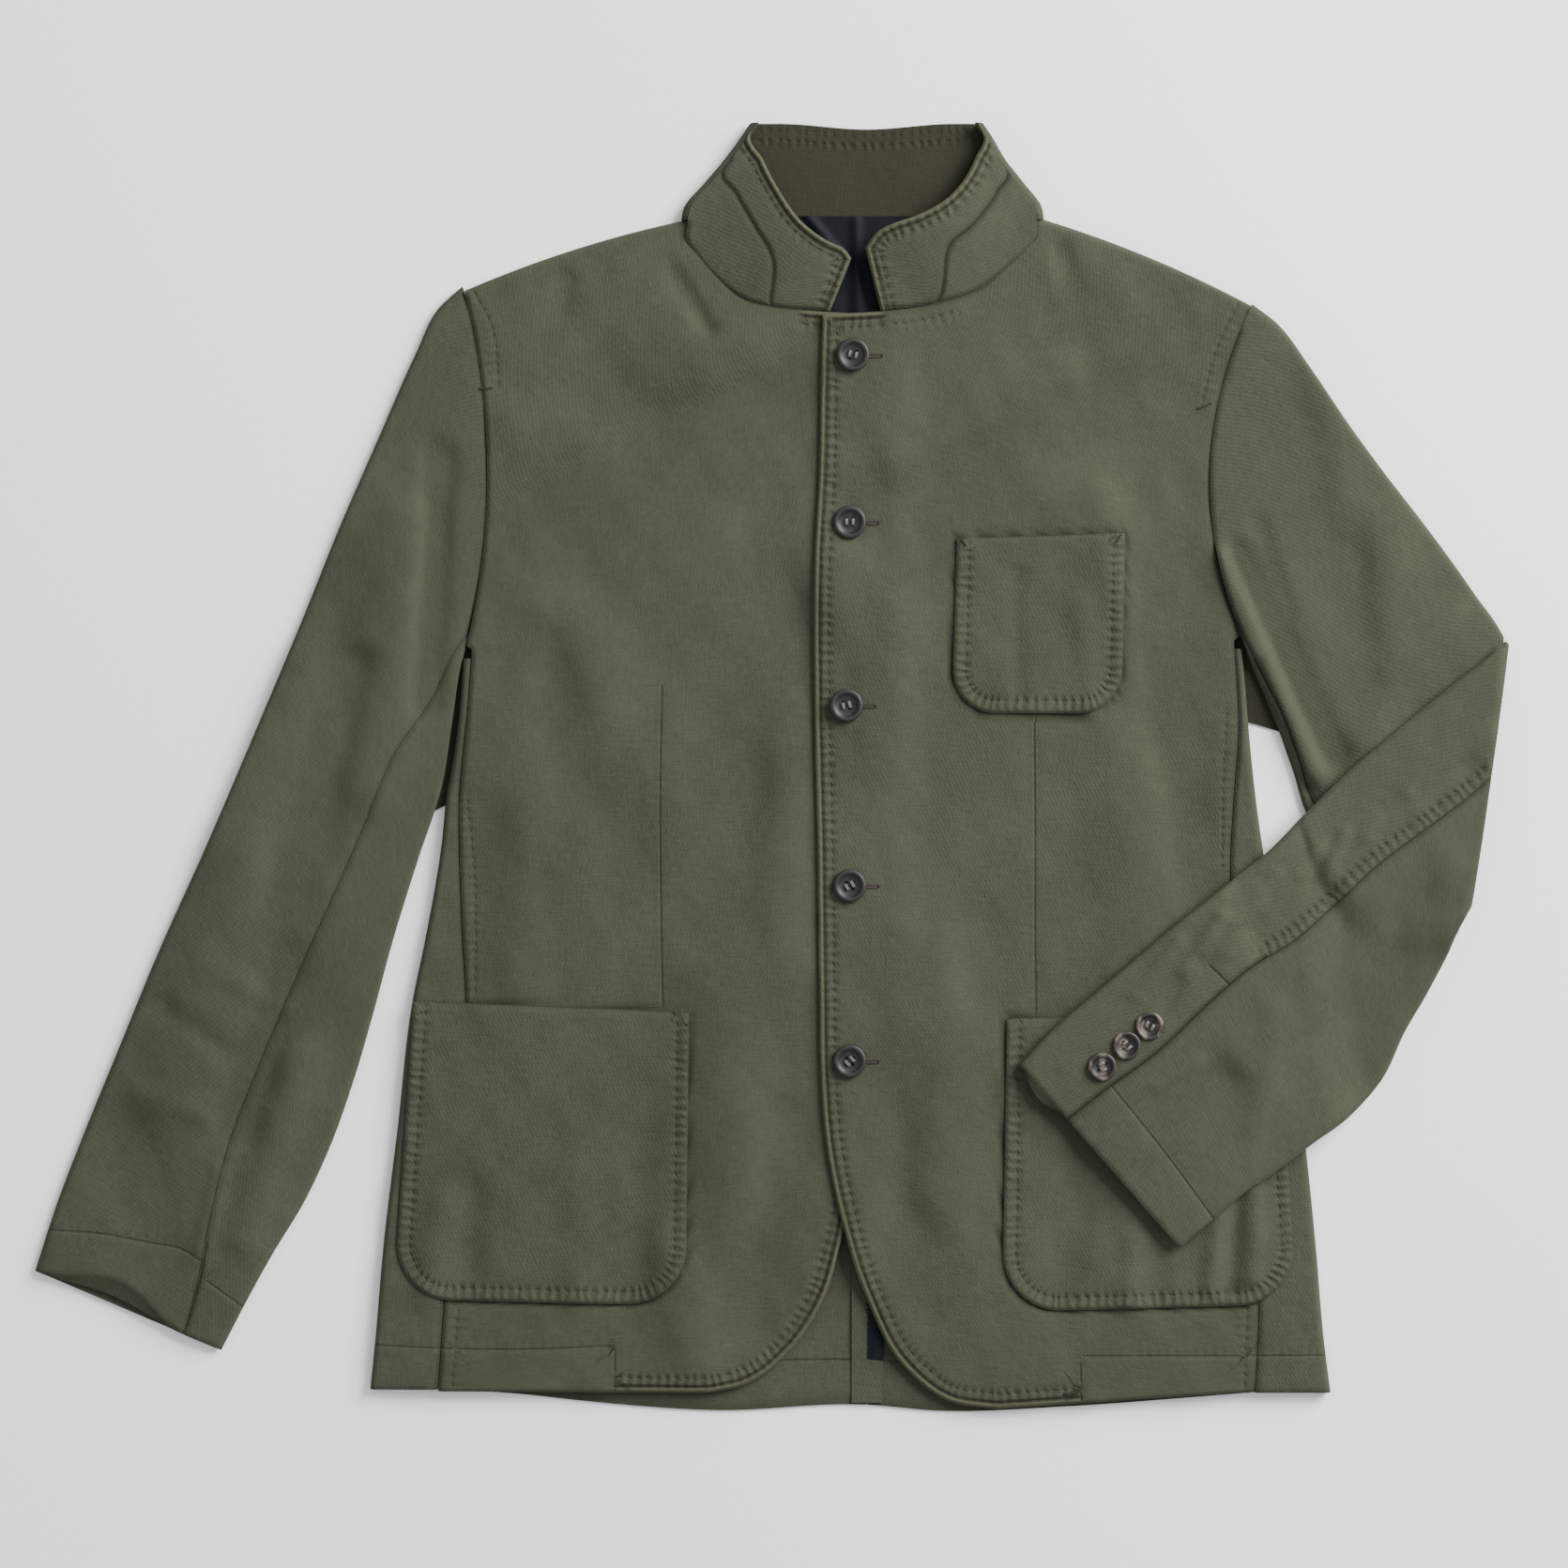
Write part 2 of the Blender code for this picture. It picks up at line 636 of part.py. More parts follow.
def collar_front(side, rows, neck_rows, neck_end, top, stand):
    """A collar front, from the side fold to its front end: the stand piece at the neckline or the edge piece."""
    outward = 1.0 if side == "left" else -1.0
    turned_in = COLLAR_LOFT / 2 + 0.6 + GAP
    last_stand_share = 0.78
    neck = [row[:2] for row in neck_rows[:NECK_ROW]] + [neck_end]

    def surface(u, v, depth):
        share = v * last_stand_share if stand else v
        free = along(rows, share)
        seam_share = np.clip(free[..., 3], 0.03 if stand else 0.0, 1.0)
        foot = along(neck, share)
        free_point = free[..., 0:2]
        turned = (turned_in * (1 - ease(share / 0.25)))[..., None] * np.array([-outward, 0.0])
        reach = free_point - foot
        length = np.linalg.norm(reach, axis=-1)
        margin = 2 * GAP / length
        start, end = (margin, seam_share - margin) if stand else (np.maximum(seam_share, margin) + margin, 1.0)
        t = start + (end - start) * u
        point = foot + reach * t[..., None] + turned
        foot_height = top(foot[..., 0], foot[..., 1])
        foot_height = COLLAR_LOFT + (foot_height - COLLAR_LOFT) * ease(share / 0.3)
        rise = free[..., 2] - foot_height
        return point[..., 0], point[..., 1], foot_height + rise * t**0.8 - depth

    name = f"collar_{side}_" + ("stand" if stand else "edge")
    cloth(name, 3 if stand else 5, 10 if stand else 14, surface, COLLAR_WALL)


def pocket(name, top, bottom, radius):
    """A patch pocket, made from the points of the front under it and moved out, with round lower corners."""
    across, straight, round_rows = 8, 4, 4
    total = straight + round_rows

    def surface(u, v, depth):
        k = v * total
        height = np.linalg.norm(np.subtract(top[0], bottom[0]))
        angle = np.clip((k - straight) / round_rows, 0, 1) * math.pi / 2 * 0.96
        fall = np.where(k <= straight, (height - radius) * k / straight, height - radius + radius * np.sin(angle))
        drawn_in = radius * (1 - np.cos(angle))
        left = np.array(top[0]) + np.subtract(bottom[0], top[0]) * (fall / height)[..., None]
        right = np.array(top[1]) + np.subtract(bottom[1], top[1]) * (fall / height)[..., None]
        width = right[..., 0] - left[..., 0]
        t = (drawn_in + (width - 2 * drawn_in) * u) / width
        x = left[..., 0] + width * t
        y = left[..., 1] + (right[..., 1] - left[..., 1]) * t
        under = left_front_top(x, y) if x.min() > 70 else body_top(x, y)
        return x, y, under + LIE_GAP + POCKET_WALL - depth

    cloth(name, across, total, surface, POCKET_WALL)


def button(name, at, height, diameter, finish):
    """A turned four-hole button with a raised rim."""
    bm = bmesh.new()
    radius = diameter / 2
    profile = [bm.verts.new((share * radius * MM, 0, rise * MM)) for share, rise in BUTTON_PROFILE]
    edges = [bm.edges.new(pair) for pair in zip(profile, profile[1:])]
    bmesh.ops.spin(
        bm,
        geom=profile + edges,
        axis=(0, 0, 1),
        cent=(0, 0, 0),
        steps=BUTTON_SIDES,
        angle=math.tau,
        use_merge=True,
    )
    bmesh.ops.remove_doubles(bm, verts=bm.verts, dist=0.01 * MM)
    bmesh.ops.recalc_face_normals(bm, faces=bm.faces)
    made = place(name, bm, finish)
    made.location = Vector((*at, height)) * MM
    holes = button_holes(name + "_holes")
    holes.parent = made
    cut = made.modifiers.new("Holes", "BOOLEAN")
    cut.object = holes
    cut.operation = "DIFFERENCE"


def button_holes(name):
    bm = bmesh.new()
    reach = BUTTON_HOLE_PITCH / 2 * MM
    for x, y in ((-reach, -reach), (reach, -reach), (-reach, reach), (reach, reach)):
        bmesh.ops.create_cone(
            bm,
            cap_ends=True,
            segments=5,
            radius1=BUTTON_HOLE / 2 * MM,
            radius2=BUTTON_HOLE / 2 * MM,
            depth=10 * MM,
            matrix=Matrix.Translation((x, y, 0)),
        )
    mesh = bpy.data.meshes.new(name)
    bm.to_mesh(mesh)
    bm.free()
    holes = bpy.data.objects.new(name, mesh)
    holes.hide_render = True
    holes.display_type = "WIRE"
    bpy.context.scene.collection.objects.link(holes)
    return holes


def flat_strip(name, left, right, bottom, top, height, wall, colour):
    """A narrow piece that lies flat on another."""

    def surface(u, v, depth):
        return left + (right - left) * u, top + (bottom - top) * v, height + wall - depth

    cloth(name, 2, 4, surface, wall, colour)


for old in list(bpy.data.objects):
    bpy.data.objects.remove(old, do_unlink=True)
blazer = bpy.data.objects.new("blazer", None)
bpy.context.scene.collection.objects.link(blazer)

back_half("back_left", ARMHOLE_LEFT, SIDE_LEFT, FRONT_LEFT)
back_half("back_right", ARMHOLE_RIGHT, SIDE_RIGHT, FRONT_RIGHT)
flat_strip("vent_strip", **VENT_STRIP, height=BACK_WALL + GAP, wall=1.0, colour=OLIVE)
flat_strip("vent_lining", **VENT_LINING, height=BACK_WALL + GAP, wall=1.0, colour=NAVY)
flat_strip("neck_lining", -12, 130, 215, 337, height=BACK_WALL + GAP, wall=LINING_WALL, colour=NAVY)

side_body("side_left", SIDE_LEFT)
side_body("side_right", SIDE_RIGHT)
front("front_right", FRONT_RIGHT, ARMHOLE_RIGHT, SIDE_RIGHT, body_top, 10)
front("front_left", FRONT_LEFT, ARMHOLE_LEFT, SIDE_LEFT, left_front_top, 11)

sleeve("sleeve_right_top", SLEEVE_RIGHT, True, SLEEVE_FOLDS, on_the_surface, 5, 2, lift=14.0)
sleeve("sleeve_right_under", SLEEVE_RIGHT, False, SLEEVE_FOLDS, on_the_surface, 3, 2)
sleeve("sleeve_left_top", SLEEVE_LEFT, True, SLEEVE_FOLDS, on_the_surface, 7, 2)
sleeve("sleeve_left_under", SLEEVE_LEFT, False, SLEEVE_FOLDS, on_the_surface, 1, 2)
sleeve("forearm_top", forearm_rows(), True, SLEEVE_FOLDS, on_the_body, 3, 2)
sleeve("forearm_under", forearm_rows(), False, SLEEVE_FOLDS, on_the_body, 5, 2)
forearm_fold()
underarm("underarm_left", SIDE_LEFT, SLEEVE_LEFT, 62, 28)
underarm("underarm_right", SIDE_RIGHT, SLEEVE_RIGHT, 48, -24)

collar_back()
for piece in (True, False):
    collar_front("left", COLLAR_LEFT, FRONT_LEFT, COLLAR_END_LEFT, left_front_top, piece)
    collar_front("right", COLLAR_RIGHT, FRONT_RIGHT, COLLAR_END_RIGHT, body_top, piece)

for name, shape in POCKETS.items():
    pocket(name, **shape)

horn = material("horn", HORN, 0.35)
for number, (x, y) in enumerate(FRONT_BUTTONS, 1):
    rest = float(left_front_top(np.array([x]), np.array([y]))[0]) + LIE_GAP
    button(f"front_button_{number}", (x, y), rest, FRONT_BUTTON, horn)
for number, (x, y) in enumerate(CUFF_BUTTONS, 1):
    button(f"cuff_button_{number}", (x, y), CUFF_BUTTON_REST, CUFF_BUTTON, horn)
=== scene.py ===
"""Stand-collar blazer of garment-dyed cotton twill, laid flat on its back.

Tables are in millimetres: +X is the wearer's left, +Y points from the hem to the collar, +Z up from the surface that
the blazer lies on. Every cloth piece is a thin closed shell: a fine grid on the form of its solid, with its folds,
seams, rolled edges and hems raised or sunk in the outer face, and the places of its stitches kept for the material.
"""

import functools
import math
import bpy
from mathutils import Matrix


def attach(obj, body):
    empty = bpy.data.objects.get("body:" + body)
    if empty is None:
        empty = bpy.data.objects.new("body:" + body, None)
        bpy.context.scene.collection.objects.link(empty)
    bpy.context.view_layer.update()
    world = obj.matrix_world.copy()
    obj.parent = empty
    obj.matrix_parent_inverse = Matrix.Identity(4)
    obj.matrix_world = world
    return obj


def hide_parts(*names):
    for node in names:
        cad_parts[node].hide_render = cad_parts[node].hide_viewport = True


bl_info = {
    "name": "Stand-collar blazer",
    "version": (1, 0, 0),
    "blender": (4, 5, 0),
    "location": "View3D > Sidebar > Blazer",
    "description": "Dresses the solids of a flat-laid blazer in cotton twill, navy lining and horn buttons",
    "category": "Object",
}

import bmesh
import bpy
import numpy as np
from mathutils import Matrix, Vector

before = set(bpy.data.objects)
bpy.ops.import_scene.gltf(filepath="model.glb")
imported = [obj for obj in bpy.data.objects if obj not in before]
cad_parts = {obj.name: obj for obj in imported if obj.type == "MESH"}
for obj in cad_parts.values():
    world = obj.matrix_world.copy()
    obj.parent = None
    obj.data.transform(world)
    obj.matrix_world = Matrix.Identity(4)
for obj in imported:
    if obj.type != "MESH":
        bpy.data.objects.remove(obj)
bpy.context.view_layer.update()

MM = 0.001
# Clearance between edges that meet, and between a piece and what it lies on
GAP = 0.3
LIE_GAP = 0.6
# Farther than any sewing reaches
FAR = 99.0

# The photograph's frame: its width in metres at the surface, and its middle
FRAME_WIDTH = 0.9692
FRAME_CENTRE = (7.5, -10.4)
WORLD_LIGHT = 0.92
# Where the key light comes from, in metres: the upper right of the photograph
KEY_FROM = (2.6, 1.9, 1.85)
KEY_COLOUR = (1.0, 0.99, 0.97)
ROOM_COLOUR = (0.95, 0.97, 1.0, 1.0)
FLOOR_SIZE = 6.0
FLOOR_HEIGHT = -0.3

# Steps of the grids: round a roll, at a front's turned shoulder, and for each row of a front's table
ROLL_STEPS = 8
SHOULDER_STEPS = 4
STEPS_A_ROW = 12
# How much closer a grid's rows lie at its edges
CROWDING = 0.09

# Walls, shell and lining together
BACK_WALL = 1.8
FRONT_WALL = 2.2
SIDE_WALL = 1.8
SLEEVE_WALL = 2.2
COLLAR_WALL = 2.2
POCKET_WALL = 1.4
LINING_WALL = 1.2
STRIP_WALL = 1.0
# What sewing leaves of a wall at least
THINNEST = 0.25

# Heights of the layers as they lie
BODY_LOFT = 7.6
LAP_RISE = FRONT_WALL + 0.8
LAP_START = 5.0
LAP_RUN = 28.0
COLLAR_LOFT = 9.6
FOREARM_SAG = 5.0
FOREARM_SAG_START = 12.0
FOREARM_SAG_RUN = 34.0
# How much further in than its half-round a rolled wall's end lies at least
ROLL_CLEAR = 0.6

# The centre back, and how the hidden seams lie in from the folds
CENTRE_BACK = 59.0
NECK_SEAM_Y = 339.5
HIDDEN_GAP = 1.2
SHOULDER_TURN = 12.0
SIDE_TURN = 44.0
SIDE_TURN_AT_TOP = 7.0
SIDE_TURN_RUN = 90.0
UNDERARM_BLEND = 20.0
UNDERARM_TUCK = 7.0
UNDERARM_SLANT = 9
NECK_SEAM_SHARE = 0.70
NECK_CORNER_SHARE = 0.86
SLEEVE_UNDER_SHARE = 0.42

# Armhole: its shoulder and underarm ends, and how far it bows into the body
ARMHOLE_LEFT = dict(top=(296.5, 286.0), bottom=(290.0, 80.0), bow=-23.0)
ARMHOLE_RIGHT = dict(top=(-191.0, 297.0), bottom=(-189.0, 74.0), bow=14.0)

# Fronts from the neck to the hem. Columns: x and y of the neck and front edge, y at the armhole and side seam
FRONT_LEFT = (
    (168, 337, 285),
    (161, 322, 270),
    (145, 308, 251),
    (126, 294, 233),
    (101, 286, 216),
    (67, 281, 200),
    (31, 279, 184),
    (30, 242, 158),
    (29, 184, 126),
    (26, 126, 78),
    (26, 39, 28),
    (28, -48, -57),
    (29, -135, -141),
    (30, -193, -222),
    (33, -230, -274),
    (43, -280, -320),
    (58, -327, -349),
    (79, -367, -368),
    (109, -391, -379),
    (138, -396, -385),
)
FRONT_RIGHT = (
    (-58, 335, 294),
    (-50, 320, 271),
    (-33, 300, 248),
    (-16, 288, 225),
    (0, 284, 202),
    (19, 282, 178),
    (64, 279, 155),
    (67, 242, 126),
    (67, 184, 94),
    (67, 126, 68),
    (67, 39, 16),
    (67, -48, -57),
    (66, -135, -141),
    (64, -193, -210),
    (59, -222, -268),
    (43, -291, -320),
    (33, -325, -345),
    (12, -359, -367),
    (-17, -381, -378),
    (-39, -386, -385),
)
NECK_ROW = 5
FRONT_CORNER_ROW = 6

# Side bodies from the underarm to the hem. Columns: y, x of the seam to the front, x of the fold
SIDE_LEFT = (
    (73, 285.5, 290.2),
    (53, 287, 292),
    (28, 288, 294),
    (-21, 285, 299),
    (-57, 283, 304),
    (-141, 290, 315),
    (-222, 296, 328),
    (-297, 300, 336),
    (-355, 300, 341),
    (-386, 298, 345),
)
SIDE_RIGHT = (
    (67, -185.5, -190.4),
    (33, -188, -193),
    (10, -190.5, -196),
    (-19, -193, -201),
    (-48, -193, -204),
    (-106, -191, -214),
    (-145, -189, -222),
    (-222, -194, -231),
    (-297, -200, -240),
    (-355, -204, -245),
    (-384, -206, -248),
)

# The back's rows crowd at the underarm, where its side seam curves. Columns: share of the rows, share of the height
BACK_ROWS = ((0.0, 0.0), (0.22, 0.20), (0.66, 0.48), (1.0, 1.0))
# The back's hem. Columns: x, y
BACK_HEM = (
    (-260, -382),
    (-204, -386),
    (-155, -389),
    (-115, -393),
    (-36, -398),
    (59, -394),
    (103, -398),
    (182, -396),
    (260, -391),
    (301, -388),
    (360, -384),
)

# Sleeves from the armhole on. Columns: outer edge x, y, inner edge x, y, bow, height, share of the seam
SLEEVE_RIGHT = (
    (-191, 297, -189, 74, 14, 7.6, 0.955),
    (-206, 283, -193, 57, 12, 8.0, 0.90),
    (-220, 255, -197, 30, 8, 8.2, 0.82),
    (-243, 203, -204, -13, 4, 8.2, 0.75),
    (-267, 148, -218, -56, 0, 8.2, 0.69),
    (-290, 91, -233, -104, 0, 8.2, 0.66),
    (-319, 22, -246, -152, 0, 8.2, 0.62),
    (-349, -48, -258, -193, 0, 8.2, 0.59),
    (-380, -117, -273, -235, 0, 8.0, 0.585),
    (-403, -173, -289, -269, 0, 8.0, 0.60),
    (-426, -229, -309, -302, 0, 7.8, 0.68),
    (-442, -271, -325, -331, 0, 7.6, 0.75),
    (-455, -311, -340, -360, 0, 7.4, 0.80),
)
SLEEVE_LEFT = (
    (296.5, 286, 290, 80, -23, 7.6, 0.955),
    (313, 273, 295.5, 64, -15, 8.0, 0.955),
    (333, 246, 303, 46, -7, 8.2, 0.955),
    (354, 215, 312, 25, 0, 8.2, 0.955),
    (378, 182, 322, -3, 0, 8.2, 0.955),
    (402, 151, 332, -32, 0, 8.2, 0.955),
    (422, 124, 358, -62, 0, 8.2, 0.955),
    (436, 104, 392, -78, 0, 8.0, 0.955),
    (447, 89, 420, -82, 0, 8.0, 0.955),
    (452, 80.5, 432, -84, 0, 8.0, 0.955),
)
# The forearm folded back over it, from the elbow's fold on. Columns: outer edge x, y, inner edge x, y, height of its
# underside, height, share of the seam
FOREARM = (
    (454.6, 77, 431, -88, 9.4, 7.4, 0.50),
    (442, 68, 423, -101, 9.4, 7.4, 0.49),
    (416, 48, 416, -117, 9.4, 7.8, 0.46),
    (393, 29, 405, -138, 9.4, 8.0, 0.42),
    (358, 0, 390, -164, 9.4, 8.2, 0.38),
    (329, -28, 376, -193, 9.6, 8.2, 0.35),
    (303, -54, 355, -216, 10.2, 8.0, 0.33),
    (275, -76, 334, -231, 10.8, 7.8, 0.31),
    (248, -97, 313, -247, 11.0, 7.6, 0.32),
    (207, -132, 291, -262, 11.0, 7.4, 0.34),
    (173, -161, 270, -280, 11.0, 7.2, 0.32),
    (152, -183, 251, -296, 11.0, 7.0, 0.30),
)
# How far a sleeve's top face comes down towards its edges
SLEEVE_CROWN = 2.4
SLEEVE_RIPPLE = 0.7
# Where the cuff starts that is drawn back, and over what share of the sleeve
CUFF_START = 0.9
CUFF_RUN = 0.1
# How the forearm's top layer runs down over the elbow's fold, and how far its underside stops short of it
ELBOW_ROLL = 8.4
ELBOW_SHORT = 3.0
ELBOW_RUN = 0.1
# The fold at the elbow. Columns: x, y, height
FOREARM_FOLD = (
    (455, 78, 15.6),
    (452.5, 45, 16.8),
    (448, 0, 17.0),
    (442, -48, 17.0),
    (431.5, -88, 15.6),
)
ELBOW_UNDER_REACH = 16.0
# The vent of the folded cuff: its top sleeve lies over the under sleeve from this share of the forearm on
VENT_START = 0.60
VENT_RISE = 2.2
VENT_RUN = 0.04

# The collar's fold at each side, from the neck seam to the top edge. Columns: y, x left, x right of the wearer
COLLAR_FOLD = (
    (337.5, 168.0, -56.0),
    (346, 166.5, -54.0),
    (360, 156.0, -42.0),
    (376, 143.5, -28.5),
    (389, 136.0, -19.0),
    (397.4, 130.4, -13.4),
)
COLLAR_DIP = 3.5
# Steps across the collar's back: its flat middle, and each end above the roll
COLLAR_FLAT_STEPS = 60
COLLAR_END_STEPS = 2
# Collar fronts, from the fold to the front end, a row for each row of the neckline.
# Columns: x and y of the free edge, its height, share of the stand piece, counted from the neckline
COLLAR_LEFT = (
    (129, 398, 10.4, 0.62),
    (126, 377, 13.0, 0.62),
    (108, 350, 17.0, 0.60),
    (91, 340, 18.5, 0.52),
    (74, 334, 18.5, 0.00),
    (56, 325, 16.0, 0.00),
)
COLLAR_RIGHT = (
    (-12, 398, 10.4, 0.62),
    (-6, 376, 13.0, 0.62),
    (4, 356, 15.5, 0.60),
    (19, 335, 17.0, 0.48),
    (36, 323, 16.0, 0.00),
    (51, 318, 12.5, 0.00),
)
COLLAR_END_LEFT = (67, 281.5)
COLLAR_END_RIGHT = (36, 281.5)
LAST_STAND_SHARE = 0.80
# Share of a collar front that bends towards the fold, and over which its foot comes down to the front's height
COLLAR_BEND = 0.22
COLLAR_FOOT = 0.3
# How its height grows from the foot, and what it gains at the fold
COLLAR_RISE_POWER = 0.8
COLLAR_FOLD_RISE = 0.2
# How far the collar fronts reach over its rolled ends, and how much of the collar its rounded tips take away
COLLAR_OVER = 1.2
COLLAR_TIP = 0.13
COLLAR_TIP_START = 0.87
COLLAR_TIP_RUN = 0.13
# The shoulder's edge is higher than a straight line: at its neck end, and what it gains towards its middle
SHOULDER_LIFT = 3.0
SHOULDER_BOW = 16.0
# How far the fronts reach under the collar, and over how many rows of their tables that fades
NECK_TUCK = 7.0
NECK_TUCK_ROWS = 3.6

# Soft folds in the body. Columns: x and y of one end, x and y of the other, half-width, height
BODY_FOLDS = (
    (185, 275, 60, 215, 20, -1.3),
    (175, 245, 78, 190, 18, 0.9),
    (200, 225, 62, 150, 20, -1.3),
    (160, 175, 44, 110, 22, 1.1),
    (236, 215, 246, 33, 24, -1.3),
    (205, 160, 222, 60, 16, 0.7),
    (85, 90, 62, 10, 20, 0.9),
    (110, 30, 70, -60, 24, -0.9),
    (215, 20, 225, -120, 24, 0.9),
    (130, -30, 125, -140, 20, -0.7),
    (250, 10, 262, -80, 16, -0.8),
    (100, -120, 105, -260, 24, 1.2),
    (70, -190, 95, -330, 18, -0.7),
    (-165, 265, -60, 200, 28, -1.2),
    (-150, 205, -20, 262, 24, 0.9),
    (-110, 120, -8, 215, 26, -1.2),
    (-130, 90, -30, 150, 22, 1.1),
    (-25, 200, 12, 70, 20, -0.9),
    (-134, 80, -136, 30, 12, -0.8),
    (-104, 70, -100, 10, 16, 0.6),
    (-20, 60, -40, -90, 24, -1.0),
    (10, 10, 8, -120, 16, 0.8),
    (-152, -20, -158, -120, 16, 0.8),
    (-90, -40, -80, -140, 20, -0.7),
    (-30, -130, -20, -280, 24, 1.0),
    (10, -220, -20, -340, 16, -1.0),
    (-60, -300, -50, -370, 18, 0.7),
    (276, -258, 270, -322, 5, 0.8),
    (287, -252, 283, -322, 4, -0.8),
    (298, -262, 297, -315, 6, 0.6),
    (240, -285, 236, -328, 7, -0.5),
    (222, -290, 220, -330, 6, 0.5),
    (188, -240, 178, -325, 12, -0.7),
    (-205, -270, -212, -325, 9, 0.6),
    (-185, -260, -188, -325, 8, -0.6),
    (-120, -250, -118, -328, 12, 0.5),
    (-80, -230, -84, -325, 10, -0.6),
    (150, 120, 152, 45, 5, -0.4),
    (190, 100, 196, 40, 8, 0.4),
    (-128, 300, -140, 262, 7, -0.7),
    (-60, 304, -40, 270, 6, -0.6),
    (178, 318, 188, 285, 6, -0.7),
)
SLEEVE_FOLDS = (
    (-225, 150, -250, -10, 20, 1.0),
    (-206, 190, -214, 40, 9, -1.6),
    (-260, 60, -300, -80, 18, -1.2),
    (-300, 60, -340, -40, 20, 1.0),
    (-330, -60, -370, -200, 22, 1.2),
    (-300, -120, -330, -220, 14, -1.2),
    (-400, -230, -380, -300, 18, -1.0),
    (-290, -180, -325, -290, 12, 1.0),
    (277, 126, 332, -1, 9, 2.0),
    (288, 128, 345, 8, 9, -1.8),
    (300, 60, 330, -20, 7, -1.2),
    (330, 200, 370, 40, 24, -1.2),
    (380, 150, 372, 20, 18, 1.0),
    (340, 250, 350, 150, 16, 0.9),
    (300, 150, 318, 96, 6, -0.6),
    (424, 96, 380, 60, 7, 0.5),
    (-350, -120, -300, -150, 7, 0.5),
    (-372, -150, -318, -190, 8, -0.6),
    (-390, -200, -350, -216, 6, 0.4),
    (-230, 120, -268, 100, 8, -0.5),
    (-250, 80, -290, 66, 7, 0.4),
    (-340, -250, -352, -300, 6, 0.5),
)
FOREARM_FOLDS = (
    (440, 22, 392, -14, 7, 0.48),
    (428, 2, 352, -60, 7.5, -0.29),
    (420, -8, 398, -27, 4.5, 0.21),
    (392, -20, 366, -43, 5.2, 0.34),
    (372, -30, 356, -56, 4.5, 0.25),
    (352, -40, 341, -68, 4.5, 0.34),
    (345, -44, 331, -70, 3.9, -0.29),
    (336, -52, 304, -88, 6, 0.42),
    (322, -74, 298, -102, 5.2, -0.34),
    (310, -66, 292, -96, 4.5, 0.29),
    (298, -78, 278, -112, 6, 0.38),
    (290, -98, 266, -122, 4.5, -0.25),
    (276, -92, 254, -126, 5, 0.7),
    (262, -118, 240, -148, 4, -0.5),
    (250, -108, 224, -140, 5, 0.5),
    (400, -90, 340, -190, 18, -1),
    (420, -60, 396, -104, 8, 0.36),
    (380, -100, 330, -130, 6, 0.3),
    (370, -110, 290, -180, 16, 0.9),
    (344, -160, 300, -176, 7.5, -0.17),
    (360, -190, 300, -235, 12, -0.8),
    (310, -150, 296, -236, 9, 0.5),
    (280, -190, 240, -215, 10, -0.7),
    (262, -180, 236, -196, 4, 0.4),
    (250, -212, 232, -226, 4, -0.4),
)
RIPPLE = 0.32
FOLD_SCALE = 3.7
# Where folds meet they add up to no more than this, so that no layer sinks into the one below
FOLD_DEPTH = 2.3
FOLD_HEIGHT = 5.0

# Lines sewn into each half of the body, as x and y of their points, and the pockets sewn on it
LINES = {
    "left": dict(
        neck=((74.0, 273.0), (94.2, 275.5), (114.0, 281.5)),
        dart=((161.5, 31.0), (162.1, -47.8), (162.1, -111.6), (162.7, -153.4)),
        side=((280.3, 33.3), (278.0, -13.0), (277.5, -63.5)),
        lower=((292.9, -333.2), (291.2, -384.2)),
        armhole=((287.7, 287.4), (274.4, 259.5), (264.8, 224.7)),
        hem=((189.9, -363.4), (236.3, -363.4), (294.3, -363.4), (345, -362.8)),
        hem_step=((189.9, -363.4), (190.5, -390.3)),
        back_hem=((60.0, -366.8), (144.7, -366.8), (228.2, -366.8), (344.2, -368.0)),
        pockets=("pocket_chest", "pocket_hip_left"),
    ),
    "right": dict(
        dart=((-68.1, 51.9), (-69.3, -24.6), (-68.7, -94.2), (-67.6, -147.6)),
        side=((-188.8, -14.2), (-183.8, -65.2), (-183.2, -143.5)),
        lower=((-193.8, -333.2), (-197.4, -383.1)),
        armhole=((-184.1, 293.2), (-172.8, 271.1), (-168.9, 234.6)),
        hem=((-248, -356.4), (-204.4, -358.7), (-152.2, -359.3), (-97.7, -357.0)),
        hem_step=((-97.1, -357.6), (-97.1, -388.0)),
        back_hem=((-247.9, -368.0), (-152.2, -366.8), (-36.2, -367.4), (19.4, -366.2), (58.0, -366.2)),
        pockets=("pocket_hip_right",),
    ),
}
# Lines on the sleeves
CUFF_ROW_RIGHT = ((-446, -285.8), (-410.3, -288.5), (-384.2, -293.8), (-363.4, -297.8), (-352.3, -304.8))
CUFF_FLAP_ROW = ((-348.3, -317.5), (-326.9, -332.9))
CUFF_SLIT = ((-348.3, -292.6), (-354.1, -319.9), (-361.3, -345.0))
CUFF_ROW_LEFT = ((207.1, -194.5), (236.3, -230.5), (273.1, -280.1))
VENT_BAR = ((283.8, -136.8), (269.1, -122.4))

